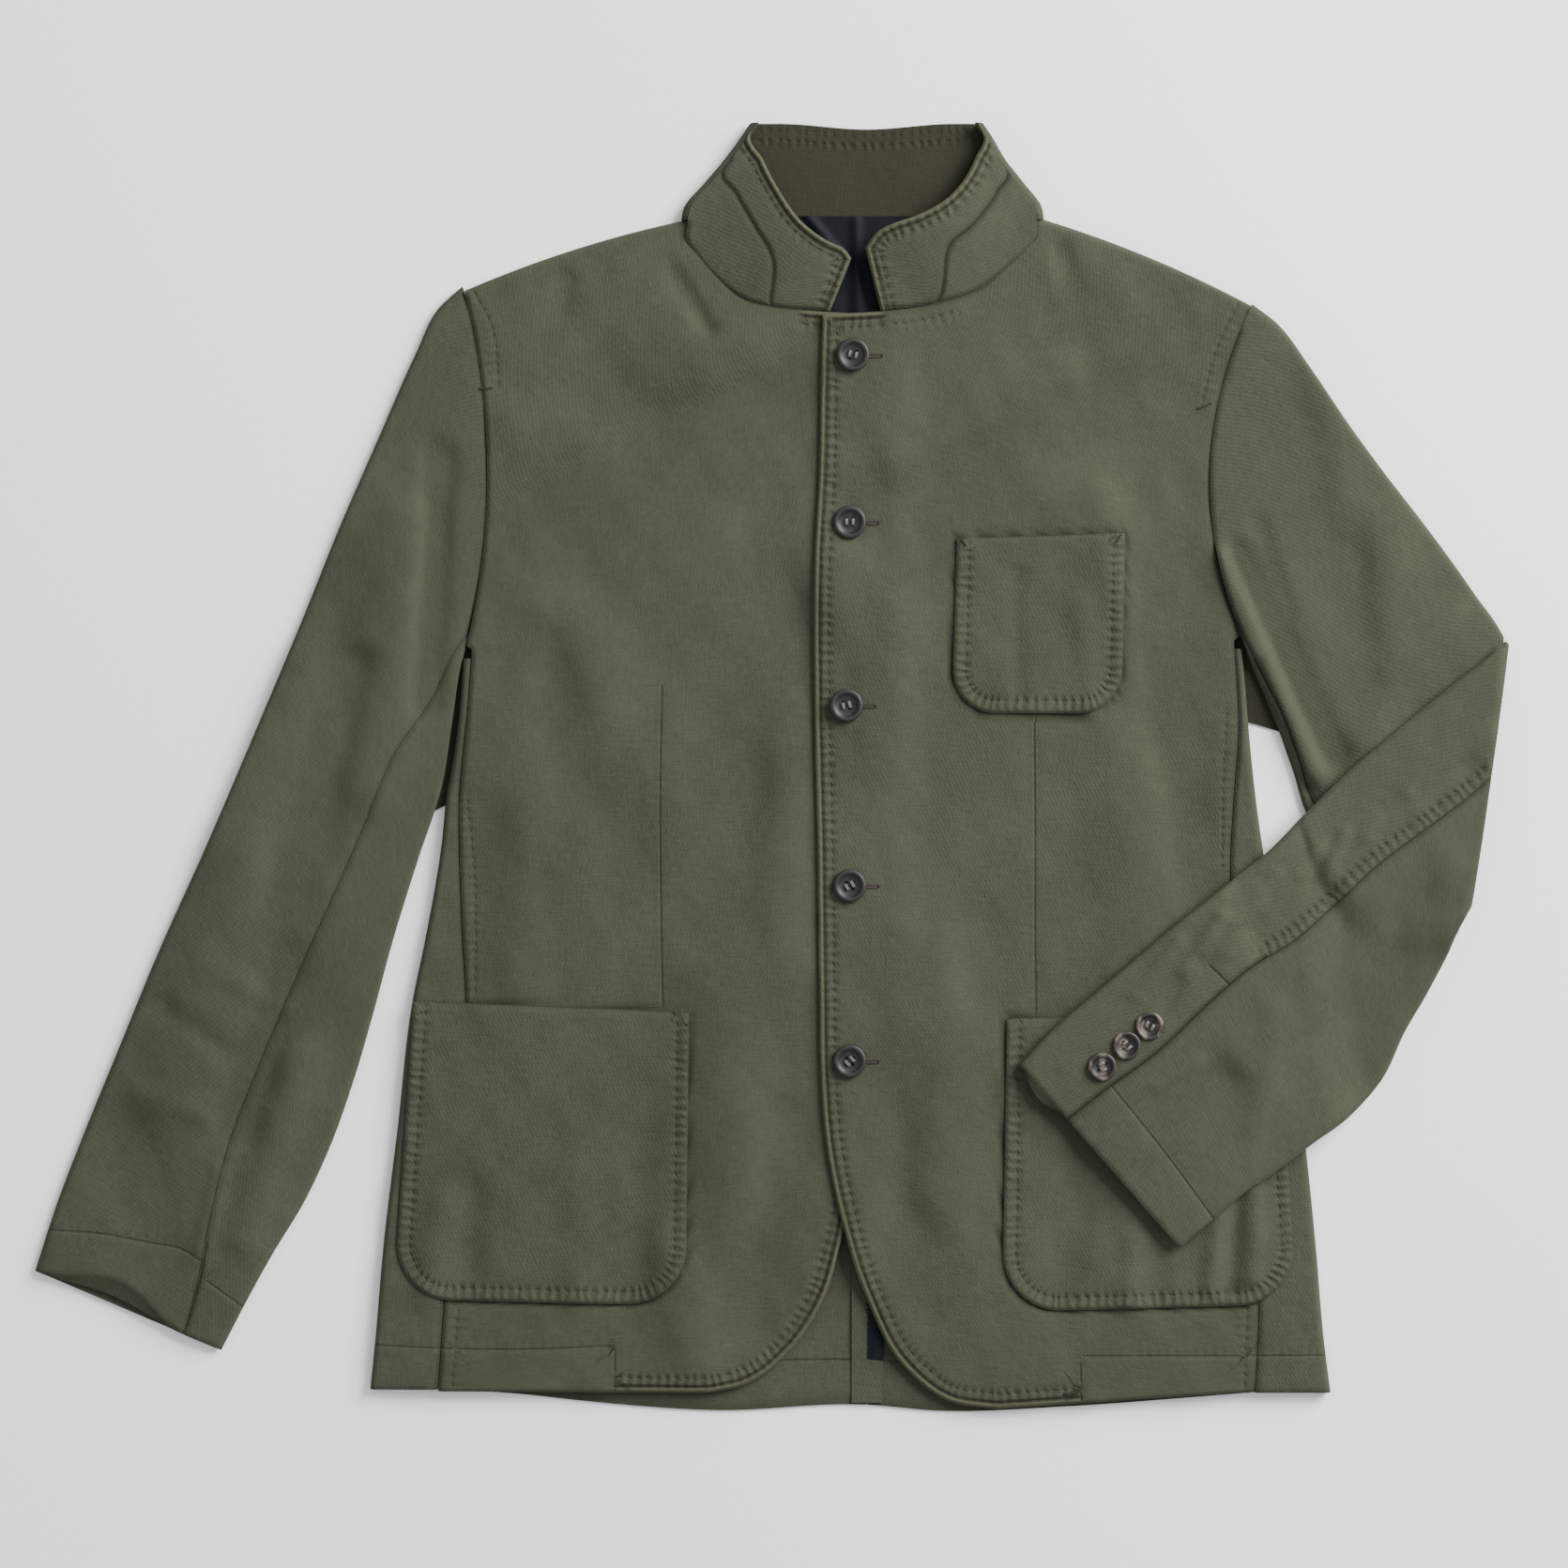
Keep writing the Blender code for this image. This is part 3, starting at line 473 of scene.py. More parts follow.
# Kinds of sewing. Columns of a kind: depth and half-width of its groove, pucker, stitched or not, darkness of the
# painted shade in its groove, and the step up beyond it
SEWING = {
    "topstitch": (0.5, 2.2, 1.0, 0.6, 0.12, 0.0),
    "row": (0.3, 1.4, 0.4, 0.45, 0.12, 0.0),
    "dart": (0.6, 2.0, 0.15, 2.0, 0.12, 0.0),
    "line": (0.5, 1.6, 0.01, 2.0, 0.15, 0.0),
    "seam": (0.9, 1.5, 0.0, 0.0, 0.6, 0.0),
    "soft_seam": (0.7, 1.6, 0.0, 0.0, 0.3, 0.0),
    "puckered_seam": (0.9, 2.2, 0.85, 0.6, 0.3, 0.0),
    "band": (0.3, 1.4, 0.22, 2.0, 0.1, 0.5),
    "shaded_outline": (0.7, 1.3, 0.0, 0.0, 0.85, 0.0),
    "edge": (0.9, 1.1, 0.0, 0.0, 0.35, 0.0),
}
# A rolled edge: its own width and height, the sunk line of painted shade inside it, and how it fades short of its ends
PIPING = dict(width=3.0, rise=0.5, line=3.9, dip=0.9, half=1.0, border=0.8, fade=6, shorter=1.0)
TOPSTITCH_IN = 9.0
COLLAR_STITCH_IN = 7.6
POCKET_STITCH_IN = 7.6
LADDER_PITCH = 5.8
STITCH_REACH = 9.0
STITCH_FADE = 3.0
# Width of the step beyond a band's row, and how much wider than a groove its line of painted shade is, at a row and at
# an edge
STEP_WIDTH = 1.2
ROW_SHADE_SPREAD = 1.3
EDGE_SHADE_SPREAD = 1.4

# Patch pockets: the share of a quarter circle that their lower corners turn, the steps of their grids down the
# straight sides and round these corners, and their corners seen from the front with the radius of the lower ones
POCKET_ROUND = 0.97
POCKET_STRAIGHT_STEPS = 40
POCKET_ROUND_STEPS = 20
POCKETS = {
    "pocket_chest": dict(top=((114, 141), (218, 144.5)), bottom=((111, 33.5), (215.5, 33)), radius=27),
    "pocket_hip_right": dict(top=((-221, -144), (-51, -151)), bottom=((-233.5, -328), (-53, -332)), radius=37),
    "pocket_hip_left": dict(top=((145, -155), (312, -150)), bottom=((142, -336), (324, -331)), radius=37),
}

FRONT_BUTTONS = ((50, 254), (48, 151), (46, 38), (48, -73), (48, -181))
CUFF_BUTTONS = ((203, -184), (218, -171), (232, -159))
# Height of the folded cuff's outer face
CUFF_REST = 19.0
CUFF_DIRECTION = (0.755, 0.656)
# A button's turned profile. Columns: share of the radius, height
BUTTON_PROFILE = (
    (0.0, 0.0),
    (0.80, 0.0),
    (0.93, 0.35),
    (0.995, 1.1),
    (1.0, 2.0),
    (0.965, 2.9),
    (0.90, 3.3),
    (0.82, 3.35),
    (0.73, 3.05),
    (0.66, 2.4),
    (0.60, 2.05),
    (0.35, 1.85),
    (0.0, 1.8),
)
BUTTON_SIDES = 48
HOLE_PITCH = 4.0
HOLE = 1.9
DRILL_LENGTH = 12
THREAD = 0.34
# Strands lie this many of their radii apart, are pressed flat on the button and end this deep in its holes
STRAND_PITCH = 1.5
STRAND_FLAT = 0.62
STRAND_END = 1.2
STRAND_FOOT = 0.2
THREAD_RISE = 1.9
BUTTONHOLE = dict(length=21.5, width=3.2, shift=8.0, drop=0.5, slant=0.4, rise=0.75, slit=0.35)
CUFF_HOLE = dict(length=8.0, width=2.6, shift=8.5, rise=0.5, slit=0.3)
BARTACK = 0.55
BARTACK_RISE = 0.8
BARTACKS = (
    ("tack_armhole_right", (-176.5, 233.5), (8.5, 0.5)),
    ("tack_armhole_left", (266.5, 222.5), (8.5, 3.5)),
    ("tack_hem_left", (184.5, -386.0), (9.0, 1.0)),
    ("tack_chest_left", (118.2, 138.5), (3.0, -4.6)),
    ("tack_chest_right", (213.8, 141.0), (-3.0, -4.6)),
)

VENT_STRIP = dict(left=49.3, right=58.5, bottom=-392.5, top=-150)
# The strip's hem is turned up and reaches past the lining
VENT_HEM = dict(right=68.7, top=-366.6)
VENT_LINING = dict(left=59.2, right=69.0, bottom=-365.6, top=-300)
NECK_LINING = dict(left=-12, right=130, bottom=258, top=340.2)
NECK_PLEATS = (
    (52, 337, 54, 225, 3.0, 0.4),
    (22, 340, 42, 316, 3.0, 0.4),
    (75, 337, 70, 290, 7.0, -0.15),
    (36, 300, 42, 240, 7.0, 0.2),
)
VENT_LINING_PLEATS = ((64, -300, 64, -366, 3.0, 0.15),)


# Curves


def smooth(knots, values, at, corners=()):
    """A smooth curve through the values at the knots, read at the given places, sharp at the rows named in corners."""
    knots = np.asarray(knots, float)
    values = np.asarray(values, float)
    at = np.asarray(at, float)
    steps = np.diff(knots)
    slopes = np.diff(values, axis=0) / steps[:, None]
    share = (steps[1:] / (steps[:-1] + steps[1:]))[:, None]
    between = slopes[:-1] * share + slopes[1:] * (1 - share)
    leaving = np.vstack([slopes[:1], between])
    arriving = np.vstack([between, slopes[-1:]])
    for corner in corners:
        leaving[corner] = slopes[corner]
        arriving[corner - 1] = slopes[corner - 1]
    row = np.clip(np.searchsorted(knots, at, side="right") - 1, 0, len(steps) - 1)
    step = steps[row][..., None]
    s = (at[..., None] - knots[row][..., None]) / step
    return (
        (1 + 2 * s) * (1 - s) ** 2 * values[row]
        + s * (1 - s) ** 2 * step * leaving[row]
        + s**2 * (3 - 2 * s) * values[row + 1]
        - s**2 * (1 - s) * step * arriving[row]
    )


def lengths_along(points):
    """How far along a line each of its points is."""
    return np.concatenate([[0.0], np.cumsum(np.linalg.norm(np.diff(points, axis=0), axis=1))])


def along(rows, share, corners=(), measured=2):
    """A table's columns at a share of its rows. The first measured columns are points, which space the curve."""
    rows = np.asarray(rows, float)
    knots = lengths_along(rows[:, :measured])
    at = np.clip(share, 0, 1) * (len(rows) - 1)
    return smooth(knots, rows, np.interp(at, np.arange(len(rows)), knots), corners)


def by_height(rows, y):
    """The columns after the first of a table whose first column is y, falling from row to row."""
    rows = np.asarray(rows, float)
    return smooth(-rows[:, 0], rows[:, 1:], np.clip(-np.asarray(y, float), -rows[0, 0], -rows[-1, 0]))


def ease(t):
    """0 below 0 and 1 above 1, with a soft step between."""
    t = np.clip(t, 0, 1)
    return t * t * (3 - 2 * t)


def bell(distance, half_width):
    """1 at no distance, and falling off on both sides."""
    return np.exp(-((distance / half_width) ** 2))


def relief(x, y, folds):
    """The height that soft folds add at a place."""
    total = np.zeros_like(x)
    for x0, y0, x1, y1, half_width, height in folds:
        run = np.array([x1 - x0, y1 - y0], float)
        t = np.clip(((x - x0) * run[0] + (y - y0) * run[1]) / (run @ run), 0, 1)
        distance = np.hypot(x - x0 - t * run[0], y - y0 - t * run[1])
        total = total + height * bell(distance, half_width)
    total = FOLD_SCALE * total
    room = np.where(total < 0, FOLD_DEPTH, FOLD_HEIGHT)
    return room * np.tanh(total / room)


# Slow unevenness of cloth that was washed and laid by hand. Columns: waves per metre in x and y, phase, share
RIPPLES = (
    (11.0, 7.0, 0.4, 1.0),
    (-8.0, 15.0, 2.1, 0.8),
    (19.0, -12.0, 4.4, 0.6),
    (27.0, 21.0, 1.3, 0.4),
    (-33.0, 24.0, 5.2, 0.3),
    (48.0, 9.0, 0.9, 0.18),
    (-14.0, 55.0, 3.7, 0.16),
)


def ripple(x, y):
    """The height that the cloth's slow unevenness adds at a place."""
    total = np.zeros_like(x)
    for across, up, phase, share in RIPPLES:
        total = total + share * np.sin(math.tau * MM * (across * x + up * y) + phase)
    return RIPPLE * total


# The lines that pieces share


def armhole_x(armhole, y):
    """x of the armhole's seam."""
    (x0, y0), (x1, y1) = armhole["top"], armhole["bottom"]
    s = np.clip((y0 - y) / (y0 - y1), 0, 1)
    return x0 + (x1 - x0) * s + armhole["bow"] * 4 * s * (1 - s)


def outer_line(armhole, side, y):
    """x of a front's outer edge: the armhole down to the underarm, the side seam below it."""
    return np.where(y >= armhole["bottom"][1], armhole_x(armhole, y), by_height(side, y)[..., 0])


def under_edge(y):
    """x of the right front's edge, which lies under the left front as far as the cutaway."""
    edge = np.array([(row[1], row[0]) for row in FRONT_RIGHT[FRONT_CORNER_ROW:-1]], float)
    return by_height(edge, y)[..., 0]


def side_turn(side, y):
    """How far a side body's seam on the back lies in from the fold."""
    return SIDE_TURN_AT_TOP + (SIDE_TURN - SIDE_TURN_AT_TOP) * ease((side[0][0] - y) / SIDE_TURN_RUN)


def body_top(x, y):
    """The height of the body's outer face."""
    return BODY_LOFT + relief(x, y, BODY_FOLDS) + ripple(x, y)


def left_front_top(x, y):
    """The left front rises over the right one, and comes down beyond its edge."""
    return body_top(x, y) + LAP_RISE * (1 - ease((x - under_edge(y) - LAP_START) / LAP_RUN))


def fold_over(u, steps, d_top, d_bottom, height, depth):
    """A wall folded round an edge, from its top at u = 0 to its underside: how far in from the fold, and how high."""
    top, bottom = steps
    k = u * (top + ROLL_STEPS + bottom)
    radius = height / 2
    angle = math.pi * np.clip((k - top) / ROLL_STEPS, 0, 1)
    over = d_top + (radius - d_top) * np.clip(k / max(top, 1), 0, 1)
    under = radius + (d_bottom - radius) * np.clip((k - top - ROLL_STEPS) / bottom, 0, 1)
    rolled = radius - (radius - depth) * np.sin(angle)
    inward = np.where(k <= top, over, np.where(k >= top + ROLL_STEPS, under, rolled))
    return inward, radius + (radius - depth) * np.cos(angle)


def faces_up(z, height):
    """How far a place on a rolled wall faces up: 1 on its top, 0 underneath."""
    return ease(z / height * 2 - 0.7)


def crowded(u):
    """Rows of a grid drawn closer together at both of its edges."""
    return u - CROWDING * np.sin(math.tau * u)


# Sewing


def measure(x, y, line):
    """Distance to a line, positive on its left, length along it, and how far a place is beyond its ends."""
    start, run = line[:-1], np.diff(line, axis=0)
    length = np.linalg.norm(run, axis=1)
    dx, dy = x[:, None] - start[:, 0], y[:, None] - start[:, 1]
    t = (dx * run[:, 0] + dy * run[:, 1]) / length**2
    held = np.clip(t, 0, 1)
    apart = np.hypot(dx - held * run[:, 0], dy - held * run[:, 1])
    nearest = np.argmin(apart, axis=1)
    pick = np.arange(len(x)), nearest
    side = np.where(run[nearest, 0] * dy[pick] - run[nearest, 1] * dx[pick] < 0, -1.0, 1.0)
    so_far = np.concatenate([[0.0], np.cumsum(length)])
    beyond = np.maximum(-t[pick], t[pick] - 1) * length[nearest]
    at_end = (nearest == 0) & (t[pick] < 0) | (nearest == len(length) - 1) & (t[pick] > 1)
    return side * apart[pick], so_far[nearest] + held[pick] * length[nearest], np.where(at_end, beyond, 0.0)


def drawn(points, step=7.0):
    """A smooth line through a few points, as short chords."""
    rows = np.asarray(points, float)
    knots = lengths_along(rows)
    count = max(3, int(knots[-1] / step))
    return smooth(knots, rows, np.linspace(0, knots[-1], count))


def border(surface, *corners, count=140):
    """The line along a piece's own edge, through corners given in its u and v."""
    corners = np.asarray(corners, float)
    at = np.linspace(0, len(corners) - 1, count * (len(corners) - 1))
    u, v = (np.interp(at, np.arange(len(corners)), corners[:, axis]) for axis in (0, 1))
    x, y, *_ = surface(u, v, np.zeros_like(u))
    return joined(np.stack([x, y], axis=-1))


def joined(*lines):
    """Lines end to end, without the points that repeat."""
    line = np.vstack(lines)
    apart = np.linalg.norm(np.diff(line, axis=0), axis=1)
    return line[np.concatenate([[True], apart > 0.05])]


class Sewn:
    """What the sewing does to the outer face of one piece: heights, painted shade in its grooves and along its edges,
    paler worn edges, and what the material needs to draw stitches.
    """

    def __init__(self, x, y, z):
        self.x, self.y, self.z = x, y, z
        self.height, self.thread, self.painted_shade, self.worn = (np.zeros_like(x) for _ in range(4))
        self.stitch = np.zeros((len(x), 3))
        self.stitch[:, 1] = FAR
        self.rival = np.full(len(x), FAR)

    def reach(self, line, end_fade, shorter=0.0):
        """Distance to a line, length along it, and how far it holds: it fades past its ends and short of them."""
        apart, length, beyond = measure(self.x, self.y, line)
        total = np.linalg.norm(np.diff(line, axis=0), axis=1).sum()
        inside = np.minimum(length, total - length) - shorter
        return apart, length, (1 - ease(beyond / STITCH_FADE)) * ease(inside / end_fade + 1)

    def row(self, kind, line, offset=0.0, side=1.0):
        """Sews along a line, or along it at a distance to one side, with painted shade in its groove. Puckers reach
        back from the row to the line.
        """
        dip, half, pucker, stitched, painted_shade, step = SEWING[kind]
        apart, length, held = self.reach(line, STITCH_FADE)
        distance = side * apart - offset
        self.height -= dip * bell(distance, half) * held
        self.height += step * ease(distance / STEP_WIDTH + 0.5) * held
        self.painted_shade = np.maximum(self.painted_shade, painted_shade * bell(distance, half * ROW_SHADE_SPREAD) * held)
        if not pucker:
            return
        reached = np.where(held > 0, np.abs(distance), FAR)
        so_far = np.abs(self.stitch[:, 1])
        self.rival = np.minimum(self.rival, np.maximum(reached, so_far))
        near = reached < so_far
        held = held * (1 - ease((np.abs(distance) - STITCH_REACH) / STITCH_FADE))
        self.stitch[near] = np.stack([length, distance, pucker * held], axis=-1)[near]
        self.thread[near] = stitched * held[near]

    def edge(self, line, kind="edge"):
        """Rounds the piece down at its edge, and paints shade along it."""
        dip, half, _, _, painted_shade, _ = SEWING[kind]
        apart = np.abs(measure(self.x, self.y, line)[0])
        self.height -= dip * bell(apart, half)
        self.painted_shade = np.maximum(self.painted_shade, painted_shade * bell(apart, half * EDGE_SHADE_SPREAD))

    def piping(self, line):
        """A rolled edge, with a sunk line of painted shade inside it and paler worn cloth on its roll."""
        apart, _, held = self.reach(line, PIPING["fade"], PIPING["shorter"])
        apart = np.abs(apart)
        rolled = np.clip(apart / PIPING["width"], 0, 1)
        self.height += held * PIPING["rise"] * np.sin(math.pi * rolled)
        self.height -= held * PIPING["dip"] * bell(apart - PIPING["line"], PIPING["half"])
        self.painted_shade = np.maximum(self.painted_shade, held * bell(apart - PIPING["line"], PIPING["half"]))
        inner = ease((apart - PIPING["width"] + PIPING["border"]) / PIPING["border"])
        self.worn = np.maximum(self.worn, held * (1 - inner))

    def settle(self, facing):
        """Fades the stitches where another row is as near, and all sewing where the cloth turns under."""
        clear = ease((self.rival - np.abs(self.stitch[:, 1])) / STITCH_FADE)
        self.stitch[:, 2] *= clear
        self.thread *= clear
        for values in (self.height, self.stitch[:, 2], self.thread, self.painted_shade, self.worn):
            values *= facing


def unit_grid(across, down):
    """A flat grid from 0 to 1 both ways."""
    bm = bmesh.new()
    bmesh.ops.create_grid(bm, x_segments=across, y_segments=down, size=0.5)
    bmesh.ops.translate(bm, verts=bm.verts, vec=(0.5, 0.5, 0.0))
    return bm


def lay_cloth(node, across, down, surface, wall, sew=None, slot="shell_cloth"):
    """One cloth piece, in place of its solid: a fine grid on surface(u, v, depth), walled and sewn. What is
    sewn on it is sew(sewn, surface), or its rows of PLAIN_SEWING."""
    bm = unit_grid(across, down)
    raised = bmesh.ops.extrude_face_region(bm, geom=bm.faces[:], use_keep_orig=True)["geom"]
    outer_verts = {item for item in raised if isinstance(item, bmesh.types.BMVert)}
    verts = list(bm.verts)
    u, v, _ = np.array([vert.co for vert in verts], float).T
    outer = np.array([vert in outer_verts for vert in verts])
    x, y, z, *facing = surface(u, v, np.where(outer, 0.0, wall))
    column, row = np.rint(u * across).astype(int), np.rint(v * down).astype(int)

    sewn = Sewn(x[outer], y[outer], z[outer])
    (sew or functools.partial(sew_plainly, node))(sewn, surface)
    sewn.settle(facing[0][outer] if facing else 1.0)
    z = z.copy()
    z[outer] = np.maximum(z[outer] + np.maximum(sewn.height, THINNEST - wall), 0.0)
    place = np.full((down + 1, across + 1), 0)
    place[row[outer], column[outer]] = np.arange(outer.sum())
    picked = place[row, column]

    points = np.zeros((down + 1, across + 1, 3))
    points[row[outer], column[outer]] = np.stack([x, y, z], axis=-1)[outer]
    steps_across = np.linalg.norm(np.diff(points, axis=1), axis=-1)
    steps_down = np.linalg.norm(np.diff(points, axis=0), axis=-1).mean(axis=1)
    width = np.concatenate([np.zeros((down + 1, 1)), np.cumsum(steps_across, axis=1)], axis=1)
    width = width - width[:, across // 2, None]
    length = np.concatenate([[0.0], np.cumsum(steps_down)])
    grain = np.stack([width[row, column], length[row], np.zeros_like(u)], axis=-1)

    for vert, point in zip(verts, np.stack([x, y, z], axis=-1)):
        vert.co = Vector(point) * MM
    bmesh.ops.recalc_face_normals(bm, faces=bm.faces)
    if bm.calc_volume(signed=True) < 0:
        bmesh.ops.reverse_faces(bm, faces=bm.faces)
    piece = new_piece(node + "_cloth", bm, lining() if slot == "lining" else twill())
    # Painted shade, worn paleness and thread, for the material
    worn = np.stack([sewn.painted_shade, sewn.worn, sewn.thread], axis=-1)
    for name, values in (("grain", grain), ("stitch", sewn.stitch[picked]), ("shade_wear_thread", worn[picked])):
        made = piece.data.attributes.new(name, "FLOAT_VECTOR", "POINT")
        made.data.foreach_set("vector", np.ascontiguousarray(values, np.float32).ravel())
    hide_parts(node)


def new_piece(name, bm, finish, smooth_angle=50):
    """A piece of the blazer, made of a bmesh and its material. Edges sharper than the angle stay sharp."""
    mesh = bpy.data.meshes.new(name)
    bm.to_mesh(mesh)
    bm.free()
    mesh.materials.append(finish)
    mesh.shade_smooth()
    mesh.set_sharp_from_angle(angle=math.radians(smooth_angle))
    piece = put_in_scene(name, mesh)
    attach(piece, "root")
    return piece


def put_in_scene(name, data):
    item = bpy.data.objects.new(name, data)
    bpy.context.scene.collection.objects.link(item)
    return item


# Materials


def linear(colour):
    """An sRGB hex colour as linear numbers."""
    values = [int(colour[k : k + 2], 16) / 255 for k in (1, 3, 5)]
    return tuple(c / 12.92 if c <= 0.04045 else ((c + 0.055) / 1.055) ** 2.4 for c in values)


def set_inputs(tree, node, inputs):
    """Sets a node's inputs, or links them where the value is another node's output."""
    for name, value in inputs.items():
        if isinstance(value, bpy.types.NodeSocket):
            tree.links.new(value, node.inputs[name])
        else:
            node.inputs[name].default_value = value


def add_node(tree, kind, inputs=None, out=0, **settings):
    """Adds a node with its settings and links, and gives the output that out names. A Mix has its colour at 2."""
    node = tree.nodes.new("ShaderNode" + kind)
    for name, value in settings.items():
        setattr(node, name, value)
    set_inputs(tree, node, inputs or {})
    return node.outputs[out]


def new_material(name):
    """A new material with its shader only. Gives it with two functions: one adds a node, one sets the shader."""
    made = bpy.data.materials.new(name)
    made.use_nodes = True
    tree = made.node_tree
    set_shader = functools.partial(set_inputs, tree, tree.nodes["Principled BSDF"])
    return made, functools.partial(add_node, tree), set_shader


def twill():
    """Cotton twill, garment-dyed and washed: matt and faintly downy, with uneven dye, slubs in the yarn, puckered
    stitch rows with painted light on their ridges and painted shade between them, painted shade in its grooves, seams
    and edges, and paler worn edges."""
    name = "garment_dyed_cotton_twill"
    if name in bpy.data.materials:
        return bpy.data.materials[name]
    settings = bpy.context.scene.blazer_cloth
    made, add, set_shader = new_material(name)
    place = add("TexCoord", out="Object")
    grain = add("Attribute", out="Vector", attribute_name="grain")
    stitch = add("Attribute", out="Vector", attribute_name="stitch")
    shade_wear_thread = add("Attribute", out="Vector", attribute_name="shade_wear_thread")
    length, distance, pucker = add("SeparateXYZ", {"Vector": stitch}).node.outputs
    painted_shade, worn, stitched = add("SeparateXYZ", {"Vector": shade_wear_thread}).node.outputs

    # Dye taken up unevenly: clouds about 80 mm across, and blotches of 14 mm
    clouds = add("TexNoise", {"Vector": place, "Scale": 9.0, "Detail": 2.0, "Roughness": 0.45})
    blotches = add("TexNoise", {"Vector": place, "Scale": 70.0, "Detail": 4.0, "Roughness": 0.6})
    # Yarns of 0.4 mm are too fine to show, so the slubs are drawn 1.1 mm wide and 9 mm long, along and across
    warp_way = add("Mapping", {"Vector": grain, "Scale": (0.9, 0.11, 1.0)})
    warp = add("TexNoise", {"Vector": warp_way, "Scale": 1.0, "Detail": 2.0, "Roughness": 0.6})
    weft_way = add("Mapping", {"Vector": grain, "Scale": (0.10, 0.85, 1.0)})
    weft = add("TexNoise", {"Vector": weft_way, "Scale": 1.0, "Detail": 2.0, "Roughness": 0.6})
    # The twill line, drawn at 2.2 mm in place of 0.9 mm
    twill_way = add("Mapping", {"Vector": grain, "Rotation": (0.0, 0.0, math.radians(27))})
    line = add(
        "TexWave",
        {"Vector": twill_way, "Scale": 0.314 / 2.2, "Distortion": 2.6, "Detail": 2.0, "Detail Scale": 1.6},
        out="Fac",
    )
    yarn = add("Math", {0: warp, 1: weft}, operation="ADD")
    weave = add("Math", {0: line, 1: 0.28, 2: yarn}, operation="MULTIPLY_ADD")

    # Puckers: ridges across the row every 5.8 mm, which reach from the edge to a little past the stitches
    wobble = add("TexNoise", {"Vector": place, "Scale": 95.0, "Detail": 1.0})
    shifted = add("Math", {0: wobble, 1: 5.5, 2: length}, operation="MULTIPLY_ADD")
    turns = add("Math", {0: shifted, 1: math.tau / LADDER_PITCH}, operation="MULTIPLY")
    ladder = add("Math", {0: turns}, operation="SINE")
    inner = add("MapRange", {"Value": distance, "From Min": 5.0, "From Max": 0.6}, interpolation_type="SMOOTHSTEP")
    outer = add("MapRange", {"Value": distance, "From Min": -8.5, "From Max": -4.5}, interpolation_type="SMOOTHSTEP")
    band = add("Math", {0: inner, 1: outer}, operation="MULTIPLY")
    uneven = add("MapRange", {"Value": blotches, "From Min": 0.35, "From Max": 0.6})
    lively = add("Math", {0: uneven, 1: 0.6, 2: 0.4}, operation="MULTIPLY_ADD")
    puckered = add("Math", {0: band, 1: pucker}, operation="MULTIPLY")
    puckered = add("Math", {0: puckered, 1: lively}, operation="MULTIPLY")
    ridges = add("Math", {0: puckered, 1: ladder}, operation="MULTIPLY")
    apart = add("Math", {0: distance}, operation="ABSOLUTE")
    row = add("MapRange", {"Value": apart, "From Min": 1.25, "From Max": 0.2}, interpolation_type="SMOOTHSTEP")
    sewn_here = add("Math", {0: stitched, 1: 1.0}, operation="MINIMUM")
    row = add("Math", {0: row, 1: sewn_here}, operation="MULTIPLY")
    dots = add("MapRange", {"Value": ladder, "From Min": 0.5, "From Max": -0.7})
    unbroken = add("Math", {0: stitched, 1: 1.0}, operation="SUBTRACT")
    dots = add("Math", {0: dots, 1: unbroken}, operation="MAXIMUM")
    sunk = add("Math", {0: row, 1: dots}, operation="MULTIPLY")

    # Colour: two dyed tones that vary at random, with painted light on the pucker ridges and painted shade between
    # them, painted shade in grooves, stitch dimples, seams and edges, and paler and browner on worn edges
    dulled = add("Math", {0: blotches, 1: 0.45}, operation="MULTIPLY")
    tone = add("Math", {0: clouds, 1: 1.0, 2: dulled}, operation="MULTIPLY_ADD")
    tone = add("Math", {0: weave, 1: 0.95, 2: tone}, operation="MULTIPLY_ADD")
    # Painted light and shade: the pucker ridges are made paler and the gaps between them darker
    tone = add("Math", {0: ridges, 1: 0.36, 2: tone}, operation="MULTIPLY_ADD")
    tone = add("MapRange", {"Value": tone, "From Min": 1.10, "From Max": 2.55})
    dyed = add("Mix", {"Factor": tone, 6: (*settings.shade, 1.0), 7: (*settings.light, 1.0)}, out=2, data_type="RGBA")
    # Painted shade: stitch dimples, grooves, seams, edges and shaded pieces are drawn towards the groove colour
    dark = add("Math", {0: sunk, 1: 0.34}, operation="MULTIPLY")
    dark = add("Math", {0: dark, 1: painted_shade}, operation="MAXIMUM")
    dark = add("Math", {0: dark, 1: 0.72}, operation="MULTIPLY", use_clamp=True)
    with_painted_shade = add("Mix", {"Factor": dark, 6: dyed, 7: (*settings.groove, 1.0)}, out=2, data_type="RGBA")
    pale = add("Math", {0: worn, 1: 0.45}, operation="MULTIPLY")
    coloured = add("Mix", {"Factor": pale, 6: with_painted_shade, 7: (*settings.worn, 1.0)}, out=2, data_type="RGBA")

    # Relief in millimetres
    fine = add("Bump", {"Height": weave, "Strength": 0.55, "Distance": 0.35 * MM})
    coarse = add("Math", {0: ridges, 1: 0.27}, operation="MULTIPLY")
    coarse = add("Math", {0: sunk, 1: -0.42, 2: coarse}, operation="MULTIPLY_ADD")
    handle = add("TexNoise", {"Vector": place, "Scale": 150.0, "Detail": 3.0, "Roughness": 0.55})
    coarse = add("Math", {0: handle, 1: 0.35, 2: coarse}, operation="MULTIPLY_ADD")
    sewn = add("Bump", {"Height": coarse, "Strength": 1.0, "Distance": 1.0 * MM, "Normal": fine})
    set_shader({"Base Color": coloured, "Normal": sewn, "Roughness": 0.93, "Specular IOR Level": 0.14})
    set_shader({"Sheen Weight": 0.06, "Sheen Roughness": 0.6, "Sheen Tint": (*settings.light, 1.0)})
    return made


